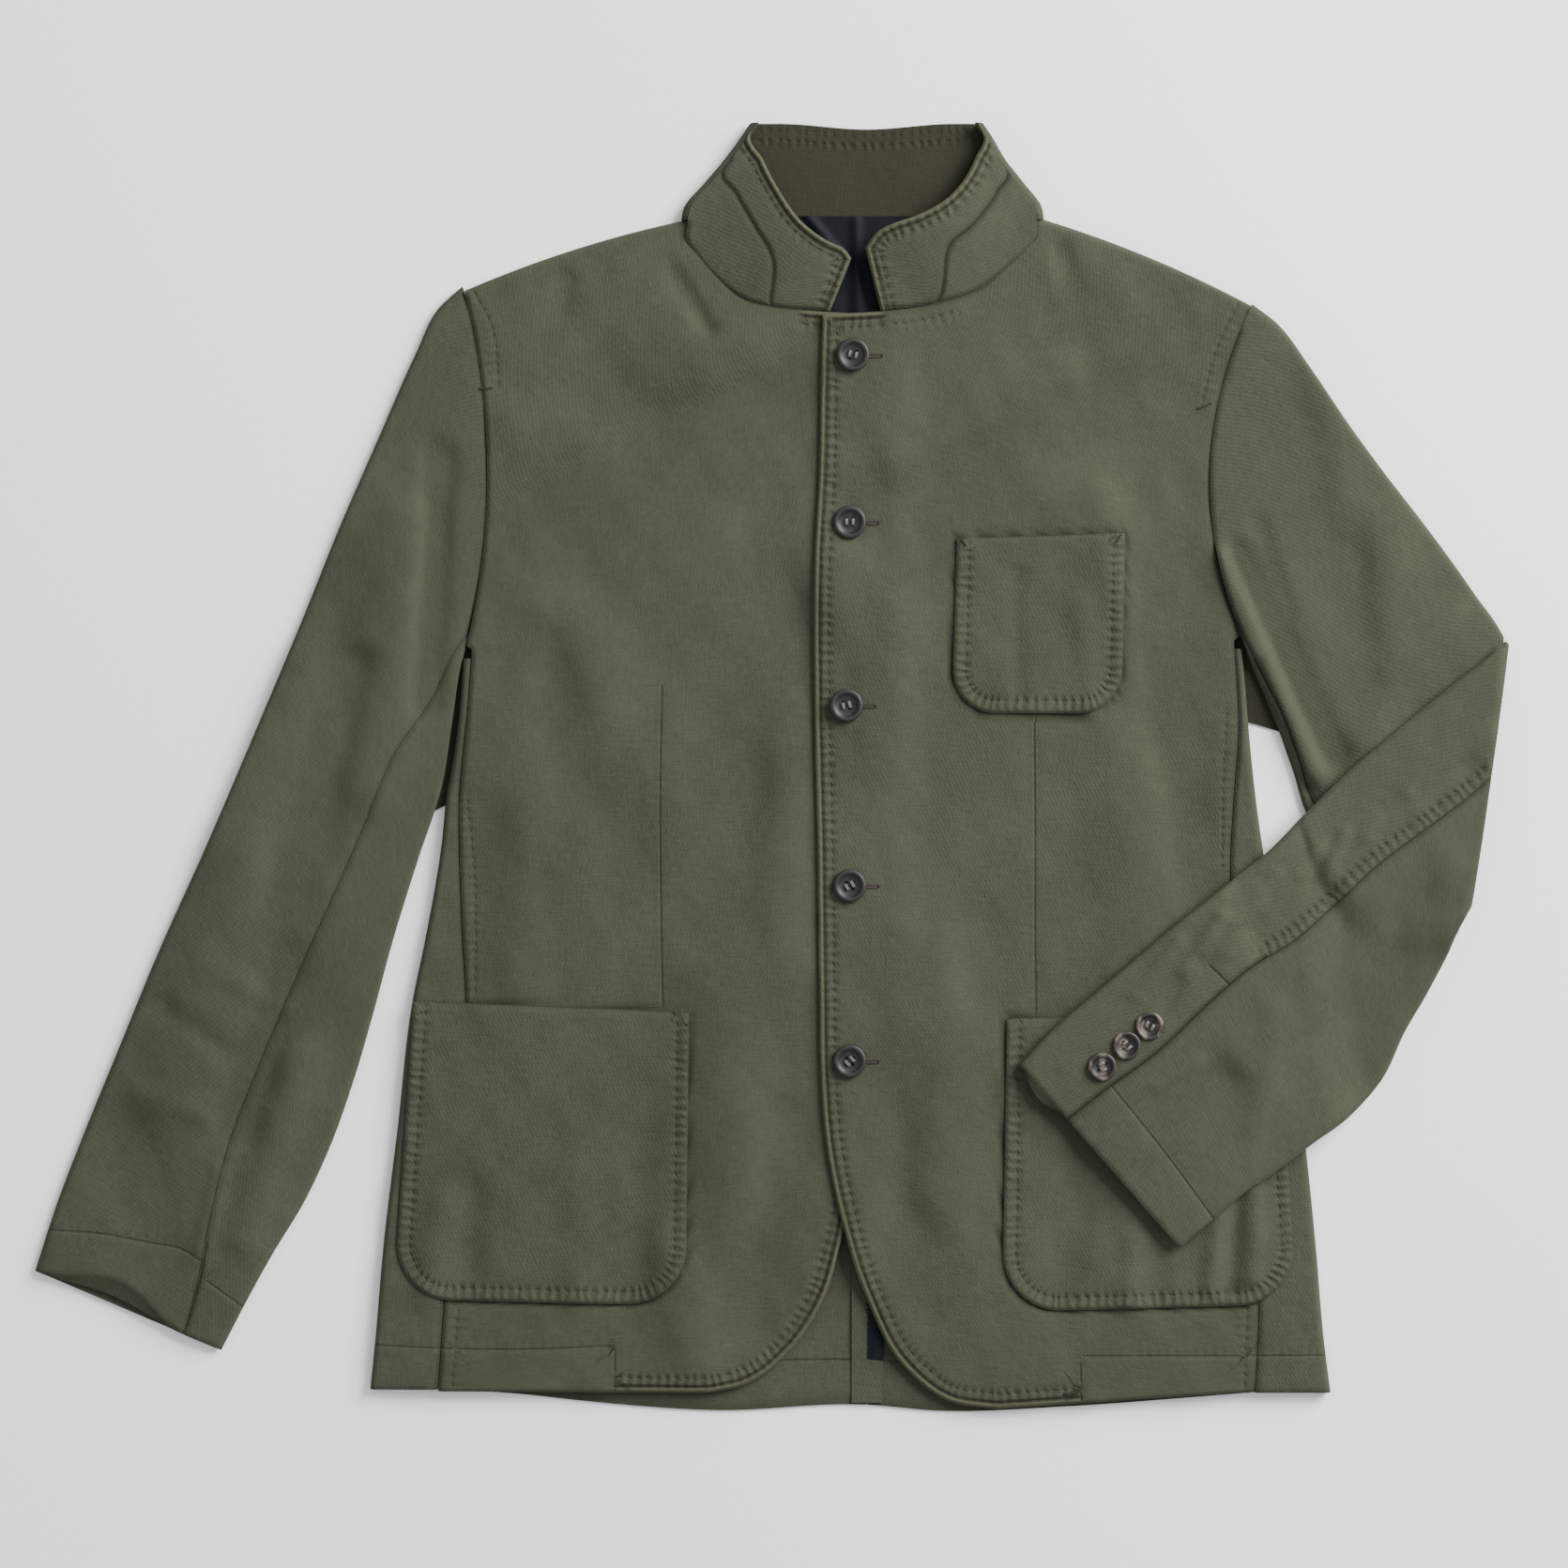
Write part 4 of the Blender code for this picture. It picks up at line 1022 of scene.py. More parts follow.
def lining():
    """Viscose lining, plain-woven and pressed: smooth, dark navy, with a soft gloss along its creases and painted
    shade in their hollows.
    """
    name = "navy_viscose_lining"
    if name in bpy.data.materials:
        return bpy.data.materials[name]
    settings = bpy.context.scene.blazer_cloth
    made, add, set_shader = new_material(name)
    place = add("TexCoord", out="Object")
    # Threads of 0.15 mm are too fine to show, so they are drawn 0.8 mm apart
    threads = add("TexWave", {"Vector": place, "Scale": 390.0, "Distortion": 0.6}, out="Fac")
    soft = add("TexNoise", {"Vector": place, "Scale": 60.0, "Detail": 3.0})
    # Painted shade: the noise that raises the creases also darkens the lining where they sink
    colour = add(
        "Mix", {"Factor": soft, 6: (*settings.lining_painted_shade, 1.0), 7: (*settings.lining, 1.0)}, out=2, data_type="RGBA"
    )
    fine = add("Bump", {"Height": threads, "Strength": 0.2, "Distance": 0.1 * MM})
    creases = add("Bump", {"Height": soft, "Strength": 0.5, "Distance": 1.2 * MM, "Normal": fine})
    set_shader({"Base Color": colour, "Normal": creases, "Roughness": 0.62, "Specular IOR Level": 0.12})
    return made


def horn(streaked):
    """Polished horn, turned: smoky grey-brown, plain or with paler streaks and clouds, with a soft clear gloss. The
    rim is worn paler and the groove in the dish stays dark."""
    name = "streaked_horn" if streaked else "smoky_horn"
    if name in bpy.data.materials:
        return bpy.data.materials[name]
    settings = bpy.context.scene.blazer_buttons
    pale = settings.horn_cream if streaked else settings.horn_pale
    made, add, set_shader = new_material(name)
    place = add("TexCoord", out="Object")
    streaks = add(
        "TexWave",
        {"Vector": place, "Scale": 30.0, "Distortion": 6.0, "Detail": 2.0, "Detail Scale": 1.2},
        out="Fac",
    )
    clouds = add("TexNoise", {"Vector": place, "Scale": 120.0, "Detail": 4.0, "Distortion": 1.2})
    mixed = add("Math", {0: streaks, 1: clouds}, operation="MULTIPLY")
    share = add("MapRange", {"Value": mixed, "From Min": 0.24, "From Max": 0.5, "To Max": 1.0 if streaked else 0.35})
    ring = add("Attribute", out="Fac", attribute_name="ring")
    rim = add("MapRange", {"Value": ring, "From Min": 0.7, "From Max": 0.84, "To Max": 0.12 if streaked else 0.4})
    share = add("Math", {0: share, 1: rim}, operation="ADD", use_clamp=True)
    horned = add("Mix", {"Factor": share, 6: (*settings.horn_dark, 1.0), 7: (*pale, 1.0)}, out=2, data_type="RGBA")
    groove = add("Math", {0: ring, 1: 0.66, 2: 0.085}, operation="COMPARE")
    groove = add("Math", {0: groove, 1: 0.6}, operation="MULTIPLY")
    colour = add(
        "Mix", {"Factor": groove, 6: horned, 7: (*(0.4 * c for c in settings.horn_dark), 1.0)}, out=2, data_type="RGBA"
    )
    worn = add("Bump", {"Height": clouds, "Strength": 0.15, "Distance": 0.2 * MM})
    set_shader({"Base Color": colour, "Normal": worn, "Roughness": 0.5, "IOR": 1.54, "Specular IOR Level": 0.3})
    return made


def sewing_thread(name, colour):
    """Polyester-cotton sewing thread, twisted: matt, with fine turns across its length."""
    if name in bpy.data.materials:
        return bpy.data.materials[name]
    made, add, set_shader = new_material(name)
    place = add("TexCoord", out="Object")
    # The thread's twist is 0.4 mm long, drawn at 0.9 mm
    twist = add("TexWave", {"Vector": place, "Scale": 350.0, "Distortion": 1.0}, out="Fac", bands_direction="DIAGONAL")
    tint = add(
        "Mix", {"Factor": twist, 6: (*(0.55 * c for c in colour), 1.0), 7: (*colour, 1.0)}, out=2, data_type="RGBA"
    )
    ribs = add("Bump", {"Height": twist, "Strength": 0.6, "Distance": 0.15 * MM})
    set_shader({"Base Color": tint, "Normal": ribs, "Roughness": 0.85})
    return made


# Surfaces of the pieces


def front_surface(rows, armhole, side, top):
    """A front. It starts on the surface behind the shoulder, rolls over the shoulder and runs down to the hem. Gives
    its surface, the steps of its grid, and a function for the place in v of a row of its table."""
    down = (len(rows) - 1) * STEPS_A_ROW
    turned_steps = SHOULDER_STEPS + ROLL_STEPS
    total = turned_steps + down
    outward = np.sign(armhole["top"][0] - CENTRE_BACK)
    fall = np.array([-outward * (rows[0][1] - rows[0][2]), -abs(rows[0][0] - armhole["top"][0])])
    inwards = fall / np.linalg.norm(fall)

    def surface(u, v, depth):
        k = v * total
        share = np.clip((k - SHOULDER_STEPS - ROLL_STEPS) / down, 0, 1)
        row = share * (len(rows) - 1)
        found = along(rows, share, corners=(FRONT_CORNER_ROW,))
        turned = 1 - k / turned_steps
        inward, z = fold_over(turned, (0, SHOULDER_STEPS), BODY_LOFT / 2, SHOULDER_TURN, BODY_LOFT, depth)
        past_shoulder = np.clip(1 - row, 0, 1)
        inward = np.where(turned > 0, inward, BODY_LOFT / 2 * past_shoulder)
        tucked = NECK_TUCK * (1 - ease(row / NECK_TUCK_ROWS))
        start_x = found[..., 0] + inwards[0] * inward - outward * tucked
        start_y = found[..., 1] + inwards[1] * inward
        end_y = found[..., 2] + inwards[1] * inward
        end_x = outer_line(armhole, side, end_y) - outward * GAP
        across = crowded(u)
        x = start_x + (end_x - start_x) * across
        bowed = (1 - across) * (SHOULDER_LIFT + SHOULDER_BOW * across)
        y = start_y + (end_y - start_y) * across + bowed * np.where(turned > 0, 1, past_shoulder)
        flat = top(x, y) - depth
        rolled = z + (top(x, y) - BODY_LOFT) * ease(z / BODY_LOFT * 2 - 1)
        return x, y, np.where(turned > 0, rolled, flat), np.where(turned > 0, faces_up(z, BODY_LOFT), 1.0)

    def place_of_row(row):
        return (turned_steps + row * STEPS_A_ROW) / total

    return surface, total, place_of_row


def side_surface(rows):
    """A side body: from its seam on the front, round the fold, to its seam on the back."""
    outward = np.sign(rows[0][2] - CENTRE_BACK)
    steps = (12, 6)

    def surface(u, v, depth):
        found = along(rows, v, measured=1)
        y, seam, edge = found[..., 0], found[..., 1], found[..., 2]
        d_top = np.maximum(np.abs(edge - seam) - GAP / 2, BODY_LOFT / 2 + ROLL_CLEAR)
        inward, z = fold_over(u, steps, d_top, side_turn(rows, y), BODY_LOFT, depth)
        x = edge - outward * inward
        facing = faces_up(z, BODY_LOFT)
        return x, y, z + (relief(x, y, BODY_FOLDS) + ripple(x, y)) * facing, facing

    return surface, sum(steps) + ROLL_STEPS


def back_surface(armhole, side, front_rows):
    """Half of the back, flat on the surface, from the neck and shoulder to the hem, between its four edges."""
    outward = np.sign(armhole["top"][0] - CENTRE_BACK)
    centre_x = CENTRE_BACK + outward * GAP / 2
    neck_x, neck_y, front_shoulder_y = front_rows[0]
    neck_half = abs(neck_x - CENTRE_BACK)
    shoulder_y = front_shoulder_y - SHOULDER_TURN - HIDDEN_GAP
    hem_y = side[-1][0]

    def side_edge(v):
        y = shoulder_y + (hem_y - shoulder_y) * v
        folded = by_height(side, y)[..., 1] - outward * (side_turn(side, y) + HIDDEN_GAP)
        on_armhole = armhole_x(armhole, y) - outward * HIDDEN_GAP
        return on_armhole + (folded - on_armhole) * ease((armhole["bottom"][1] - y) / UNDERARM_BLEND + 1), y

    def top_edge(u):
        x = centre_x + (side_edge(0.0)[0] - centre_x) * u
        corners = [NECK_SEAM_SHARE * neck_half, NECK_CORNER_SHARE * neck_half]
        knots = [0, *corners, abs(side_edge(0.0)[0] - CENTRE_BACK)]
        seam_y = NECK_SEAM_Y - GAP
        heights = [seam_y, seam_y, neck_y - SHOULDER_TURN - HIDDEN_GAP, shoulder_y]
        return x, np.interp(np.abs(x - CENTRE_BACK), knots, heights)

    def hem_edge(u):
        x = centre_x + (side_edge(1.0)[0] - centre_x) * u
        return x, smooth([row[0] for row in BACK_HEM], [row[1:] for row in BACK_HEM], x)[..., 0]

    def surface(u, v, depth):
        v = np.interp(v, *np.transpose(BACK_ROWS))
        point = []
        for axis in (0, 1):
            top, hem, edge = top_edge(u)[axis], hem_edge(u)[axis], side_edge(v)[axis]
            centre_top, centre_hem = top_edge(np.float64(0))[axis], hem_edge(np.float64(0))[axis]
            edge_top, edge_hem = side_edge(np.float64(0))[axis], side_edge(np.float64(1))[axis]
            hem = hem + (edge_hem - hem_edge(np.float64(1))[axis]) * u
            top = top + (edge_top - top_edge(np.float64(1))[axis]) * u
            centre = centre_top + (centre_hem - centre_top) * v
            corners = (1 - v) * ((1 - u) * centre_top + u * edge_top) + v * ((1 - u) * centre_hem + u * edge_hem)
            point.append((1 - v) * top + v * hem + (1 - u) * centre + u * edge - corners)
        return *point, BACK_WALL - depth

    return surface


def sleeve_surface(rows, from_outer, folds, support, steps, lift=0.0, peek=0.0, elbow=False):
    """One of the two pieces of a sleeve's flattened tube: the top sleeve wraps the outer edge, the under sleeve the
    inner edge. support(x, y, share) is the height that its underside lies at, steps the grid's above and below the
    roll, lift how far its mouth is drawn back, peek how far the layer below stands out of it."""

    def surface(u, v, depth):
        found = along(rows, v, measured=4)
        outer, inner = found[..., 0:2], found[..., 2:4]
        bow, height, seam = found[..., 4], found[..., 5], found[..., 6]
        width = np.linalg.norm(inner - outer, axis=-1)
        across = (inner - outer) / width[..., None]
        if from_outer:
            d_top = seam * width - GAP / 2
            d_bottom = SLEEVE_UNDER_SHARE * width - GAP / 2
        else:
            d_top = np.maximum((1 - seam) * width - GAP / 2, height / 2 + ROLL_CLEAR)
            d_bottom = (1 - SLEEVE_UNDER_SHARE) * width - GAP / 2
        inward, z = fold_over(u, steps, d_top, d_bottom, height, depth)
        share = inward / width if from_outer else 1 - inward / width
        point = outer + across * (share * width)[..., None]
        x = point[..., 0] + bow * 4 * share * (1 - share)
        y = point[..., 1]
        facing = faces_up(z, height)
        upper = ease(z / height * 2 - 1)
        waist = np.sin(math.pi * np.clip(share / seam if from_outer else 0, 0, 1)) ** 2
        shifted = (lift * upper - peek * (1 - upper)) * waist * ease((v - CUFF_START) / CUFF_RUN)
        if elbow:
            shifted = shifted - ELBOW_SHORT * (1 - upper) * (1 - ease(v / ELBOW_RUN))
        x = x - across[..., 1] * shifted
        y = y + across[..., 0] * shifted
        crown = SLEEVE_CROWN * (2 * share - 1) ** 2
        z = z + (relief(x, y, folds) + SLEEVE_RIPPLE * ripple(x, y) - crown) * facing
        if elbow:
            past = np.clip(1 - fold_distance(x, y) / ELBOW_ROLL, 0, 1)
            z = z - (z + support(x, y, v) - height) * (1 - np.sqrt(1 - past**2)) * upper
            z = z + VENT_RISE * facing * ease((v - VENT_START) / VENT_RUN) * (1.0 if from_outer else 0.0)
        return x, y, z + support(x, y, v), facing

    return surface, sum(steps) + ROLL_STEPS


def fold_distance(x, y):
    """How far a place lies in from the elbow's fold."""
    line = drawn([row[:2] for row in FOREARM_FOLD])
    shape = np.shape(x)
    return -measure(np.ravel(x), np.ravel(y), line)[0].reshape(shape)


def on_the_surface(x, y, share):
    """A sleeve beside the body lies on the surface."""
    return np.zeros_like(x)


def on_the_body(x, y, share):
    """The forearm lies on the upper arm and the body, and sags where neither is under it."""
    base = along(FOREARM, share, measured=4)[..., 4]
    arm = np.array([(row[2], row[3]) for row in SLEEVE_LEFT[4:-1]], float)
    arm_edge = np.interp(x, arm[:, 0], arm[:, 1], left=arm[0, 1] + 60)
    past_body = x - by_height(SIDE_LEFT, y)[..., 1]
    return base - FOREARM_SAG * ease((np.minimum(arm_edge - y, past_body) - FOREARM_SAG_START) / FOREARM_SAG_RUN)


def forearm_rows():
    """The forearm's rows with the columns of a sleeve: no bow in place of the height of the underside."""
    return tuple((*row[:4], 0.0, *row[5:]) for row in FOREARM)


def elbow_surface():
    """The cloth that runs round the elbow's fold, from the middle of its height down to the surface and under."""
    steps = (0, 6)

    def surface(u, v, depth):
        found = along(FOREARM_FOLD, v)
        inward, z = fold_over(0.5 + u / 2, steps, 0, ELBOW_UNDER_REACH, found[..., 2], depth)
        return found[..., 0] - inward, found[..., 1], z

    return surface, sum(steps) + ROLL_STEPS


def underarm_surface(side, rows, y_top, y_bottom):
    """The corner of the under sleeve that lies on the surface between the sleeve and the body, and a little under
    both."""
    edge = np.array([(row[3], row[2]) for row in rows[:6]], float)
    under = UNDERARM_TUCK * np.sign(side[0][2] - CENTRE_BACK)

    def surface(u, v, depth):
        y = y_top + (y_bottom - y_top) * v
        body = by_height(side, y)[..., 1] - under
        arm = by_height(edge, y)[..., 0] + under
        return body + (arm - body) * u, y - UNDERARM_SLANT * u * v, LINING_WALL - depth

    return surface


def collar_back_surface():
    """The back of the collar lies on the surface with its inside up. Its ends roll up to meet the collar fronts."""
    turned_in = COLLAR_LOFT / 2 + ROLL_CLEAR
    steps = (COLLAR_END_STEPS, COLLAR_FLAT_STEPS / 2)
    total = 2 * (ROLL_STEPS + COLLAR_END_STEPS) + COLLAR_FLAT_STEPS

    def surface(u, v, depth):
        rows = np.asarray(COLLAR_FOLD, float)
        y = rows[0, 0] + (rows[-1, 0] - rows[0, 0]) * v
        found = smooth(rows[:, 0], rows[:, 1:], y)
        left, right = found[..., 0], found[..., 1]
        half, centre = (left - right) / 2, (left + right) / 2
        mirrored = np.where(u > 0.5, 1 - u, u)
        reach = mirrored * total / (sum(steps) + ROLL_STEPS)
        inward, z = fold_over(reach, steps, turned_in, half, COLLAR_LOFT, depth)
        dip = COLLAR_DIP * ease(1 - np.abs(mirrored - 0.5) / 0.3) * v
        return centre + np.where(u > 0.5, 1, -1) * (half - inward), y - dip, z

    return surface, total


def collar_surface(outward, rows, neck_rows, neck_end, top, stand):
    """A collar front, from the side fold to its front end: the stand piece at the neckline or the edge piece."""
    turned_in = outward * (COLLAR_LOFT / 2 + ROLL_CLEAR - COLLAR_OVER)
    neck = [row[:2] for row in neck_rows[:NECK_ROW]] + [neck_end]
    fold = np.asarray(COLLAR_FOLD, float)

    def surface(u, v, depth):
        share = v * LAST_STAND_SHARE if stand else v
        free = along(rows, share)
        seam_share = np.clip(free[..., 3], 0.0, 1.0)
        foot = along(neck, share)
        reach = free[..., 0:2] - foot
        margin = GAP / np.linalg.norm(reach, axis=-1)
        tip = 1 - COLLAR_TIP * np.clip((share - COLLAR_TIP_START) / COLLAR_TIP_RUN, 0, 1) ** 2
        start, end = (0 * margin, seam_share - margin) if stand else (seam_share, tip)
        t = np.clip(start + (end - start) * crowded(u), 0, 1)
        point = foot + reach * t[..., None]
        y = point[..., 1]
        folded = smooth(fold[:, 0], fold[:, 1:], np.clip(y, fold[0, 0], fold[-1, 0]))[..., 0 if outward > 0 else 1]
        at_fold = 1 - ease(share / COLLAR_BEND)
        x = point[..., 0] + (folded - turned_in - point[..., 0]) * at_fold
        foot_height = top(foot[..., 0], foot[..., 1])
        foot_height = COLLAR_LOFT + (foot_height - COLLAR_LOFT) * ease(share / COLLAR_FOOT)
        rise = free[..., 2] - foot_height
        return x, y, foot_height + rise * t**COLLAR_RISE_POWER + COLLAR_FOLD_RISE * at_fold - depth

    return surface


def pocket_surface(top, bottom, radius):
    """A patch pocket, made from the points of the front under it and moved out, with round lower corners."""
    straight = POCKET_STRAIGHT_STEPS

    def surface(u, v, depth):
        k = v * (straight + POCKET_ROUND_STEPS)
        height = np.linalg.norm(np.subtract(top[0], bottom[0]))
        angle = np.clip((k - straight) / POCKET_ROUND_STEPS, 0, 1) * math.pi / 2 * POCKET_ROUND
        fall = np.where(k <= straight, (height - radius) * k / straight, height - radius + radius * np.sin(angle))
        drawn_in = radius * (1 - np.cos(angle))
        left = np.array(top[0]) + np.subtract(bottom[0], top[0]) * (fall / height)[..., None]
        right = np.array(top[1]) + np.subtract(bottom[1], top[1]) * (fall / height)[..., None]
        width = right[..., 0] - left[..., 0]
        t = (drawn_in + (width - 2 * drawn_in) * crowded(u)) / width
        x = left[..., 0] + width * t
        y = left[..., 1] + (right[..., 1] - left[..., 1]) * t
        under = left_front_top(x, y) if top[0][0] > CENTRE_BACK else body_top(x, y)
        return x, y, under + LIE_GAP + POCKET_WALL - depth

    return surface


def strip_surface(left, right, bottom, top, height, wall, folds=(), hem=None):
    """A narrow or flat piece that lies on another, with a wider hem if it has one."""

    def surface(u, v, depth):
        y = top + (bottom - top) * v
        reach = np.where(y < hem["top"], hem["right"], right) if hem else right
        x = left + (reach - left) * u
        return x, y, height + wall - depth + relief(x, y, folds)

    return surface


# Buttons and sewn details


def on_the_cuff(x, y):
    """The height of the folded cuff, as a function for what is sewn on it."""
    return np.full_like(x, CUFF_REST)


def button(name, at, height, diameter, turned):
    """A turned four-hole button with a raised rim, and the thread in its holes, turned by some degrees."""
    bm = bmesh.new()
    radius = diameter / 2
    profile = [bm.verts.new((share * radius * MM, 0, rise * MM)) for share, rise in BUTTON_PROFILE]
    edges = [bm.edges.new(pair) for pair in zip(profile, profile[1:])]
    bmesh.ops.spin(
        bm,
        geom=profile + edges,
        axis=(0, 0, 1),
        cent=(0, 0, 0),
        steps=BUTTON_SIDES,
        angle=math.tau,
        use_merge=True,
    )
    bmesh.ops.remove_doubles(bm, verts=bm.verts, dist=0.01 * MM)
    bmesh.ops.recalc_face_normals(bm, faces=bm.faces)
    turn = Matrix.Translation(Vector((*at, height)) * MM)
    bmesh.ops.transform(bm, matrix=turn, verts=bm.verts)
    piece = new_piece(name + "_horn", bm, horn("cuff" in name), 35)
    holes = bmesh.new()
    for dx in (-1, 1):
        for dy in (-1, 1):
            bmesh.ops.create_cone(
                holes,
                cap_ends=True,
                segments=20,
                radius1=HOLE / 2 * MM,
                radius2=HOLE / 2 * MM,
                depth=DRILL_LENGTH * MM,
                matrix=turn @ Matrix.Translation((dx * HOLE_PITCH / 2 * MM, dy * HOLE_PITCH / 2 * MM, 0)),
            )
    drill = bpy.data.meshes.new(name + "_drill")
    holes.to_mesh(drill)
    holes.free()
    drill = put_in_scene(name + "_drill", drill)
    cut = piece.modifiers.new("Holes", "BOOLEAN")
    cut.object = drill
    cut.operation = "DIFFERENCE"
    apply_modifiers(piece)
    bpy.data.objects.remove(drill, do_unlink=True)
    across = np.array([vert.co[:2] for vert in piece.data.vertices]) / MM - np.array(at)
    ring = piece.data.attributes.new("ring", "FLOAT", "POINT")
    ring.data.foreach_set("value", (np.hypot(*across.T) / radius).astype(np.float32))
    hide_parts(name)
    loops_of_thread(name + "_thread", at, height + THREAD_RISE, math.radians(turned))


def apply_modifiers(piece):
    """Writes the piece's modifiers into its mesh."""
    shaped = bpy.data.meshes.new_from_object(piece.evaluated_get(bpy.context.evaluated_depsgraph_get()))
    piece.modifiers.clear()
    old = piece.data
    piece.data = shaped
    bpy.data.meshes.remove(old)


def loops_of_thread(name, at, height, turned):
    """The thread through a button's holes: three strands in each of two bars, with their ends down in the holes."""
    bm = bmesh.new()
    for dy in (-1, 1):
        for strand in (-1, 0, 1):
            aside = dy * HOLE_PITCH / 2 + strand * STRAND_PITCH * THREAD
            start = Matrix.Translation(Vector((-HOLE_PITCH / 2, aside, 0)) * MM)
            ring = bmesh.ops.create_circle(bm, segments=8, radius=THREAD * MM, matrix=start)
            edges = list({edge for vert in ring["verts"] for edge in vert.link_edges})
            bmesh.ops.spin(
                bm,
                geom=ring["verts"] + edges,
                axis=(0, 1, 0),
                cent=(0, aside * MM, 0),
                steps=12,
                angle=math.pi,
            )
    for vert in bm.verts:
        height_here = abs(vert.co.z)
        vert.co.z = height_here * STRAND_FLAT if height_here > STRAND_FOOT * MM else vert.co.z - STRAND_END * MM
    bmesh.ops.holes_fill(bm, edges=bm.edges, sides=12)
    bmesh.ops.recalc_face_normals(bm, faces=bm.faces)
    turn = Matrix.Translation(Vector((*at, height)) * MM) @ Matrix.Rotation(turned, 4, "Z")
    bmesh.ops.transform(bm, matrix=turn, verts=bm.verts)
    new_piece(name, bm, sewing_thread("button_thread", bpy.context.scene.blazer_buttons.thread))


def stitched_bar(name, centre, run, half_width, rise, top, slit=0.0):
    """A bar or buttonhole of close stitches: a low rounded ridge round a straight line, open in the middle if it has
    a slit. It lies on the height given by top(x, y)."""
    run = np.asarray(run, float)
    length = np.linalg.norm(run)
    direction = run / length
    normal = np.array([-direction[1], direction[0]])
    straight = max(length / 2 - half_width, 0.01)
    around, over = 96, 8
    bm = unit_grid(around, over)
    verts = list(bm.verts)
    u, v, _ = np.array([vert.co for vert in verts], float).T
    angle = math.tau * np.rint(u * around) / around
    reach = slit + (half_width - slit) * v
    along_line = np.sign(np.cos(angle)) * straight * (np.abs(np.cos(angle)) > 1e-9) + reach * np.cos(angle)
    aside = reach * np.sin(angle)
    x = centre[0] + direction[0] * along_line + normal[0] * aside
    y = centre[1] + direction[1] * along_line + normal[1] * aside
    # A stitch every 3 steps round the bar
    teeth = 0.85 + 0.15 * np.cos(angle * around / 3)
    z = top(x, y) + rise * np.sqrt(np.clip(np.sin(math.pi * (0.12 + 0.88 * v)), 0, 1)) * teeth + 0.05
    for vert, point in zip(verts, np.stack([x, y, z], axis=-1)):
        vert.co = Vector(point) * MM
    bmesh.ops.remove_doubles(bm, verts=bm.verts, dist=0.001 * MM)
    bmesh.ops.holes_fill(bm, edges=bm.edges, sides=around + 2)
    bmesh.ops.recalc_face_normals(bm, faces=bm.faces)
    new_piece(name, bm, sewing_thread("olive_thread", bpy.context.scene.blazer_cloth.thread), 60)


def buttonhole(name, centre, run, size, top):
    """A worked buttonhole, with its slit."""
    stitched_bar(name, centre, run, size["width"] / 2, size["rise"], top, size["slit"])


# Sewing of each piece

# A piece's own edges, by their corners in u and v
LONG_EDGE = ((0, 0), (0, 1))
HEM_EDGE = ((0, 1), (1, 1))
TOP_EDGE = ((0, 0), (1, 0))
ARMHOLE_EDGE = ((0, 0), (0.7, 0))
ALL_BUT_TOP = ((0, 0), (0, 1), (1, 1), (1, 0))


def hemmed(seam, hem_row, *rows):
    """The plain sewing of a piece with a seam along its long edge and a turned hem."""
    return ((seam, LONG_EDGE), ("edge", HEM_EDGE)), (("band", hem_row, -1), *rows)


# Plain sewing: first the edges, by kind and corners, then the rows, by kind, line and side
PLAIN_SEWING = {
    "back_left": hemmed("seam", LINES["left"]["back_hem"]),
    "back_right": hemmed("seam", LINES["right"]["back_hem"]),
    "side_left": hemmed("seam", LINES["left"]["hem"]),
    "side_right": hemmed("seam", LINES["right"]["hem"]),
    "sleeve_right_top": (
        (("soft_seam", LONG_EDGE), ("seam", ARMHOLE_EDGE), ("edge", HEM_EDGE)),
        (("band", CUFF_ROW_RIGHT, -1),),
    ),
    "sleeve_right_under": hemmed("soft_seam", CUFF_FLAP_ROW, ("line", CUFF_SLIT, 1)),
    "sleeve_left_top": ((("seam", LONG_EDGE), ("seam", ARMHOLE_EDGE)), ()),
    "forearm_under": hemmed("seam", CUFF_ROW_LEFT),
    "collar_left_stand": ((("seam", ALL_BUT_TOP),), ()),
    "collar_right_stand": ((("seam", ALL_BUT_TOP),), ()),
}


def sew_plainly(node, sewn, surface):
    """Sews what PLAIN_SEWING says of a piece, or nothing."""
    edges, rows = PLAIN_SEWING.get(node, ((), ()))
    for kind, corners in edges:
        sewn.edge(border(surface, *corners), kind)
    for kind, line, side in rows:
        sewn.row(kind, drawn(line), side=side)


def shade_underarm(sewn, surface):
    """Nothing is sewn on the corner. It lies between two layers, and all of it is darkened with painted shade."""
    sewn.painted_shade[:] = 0.9


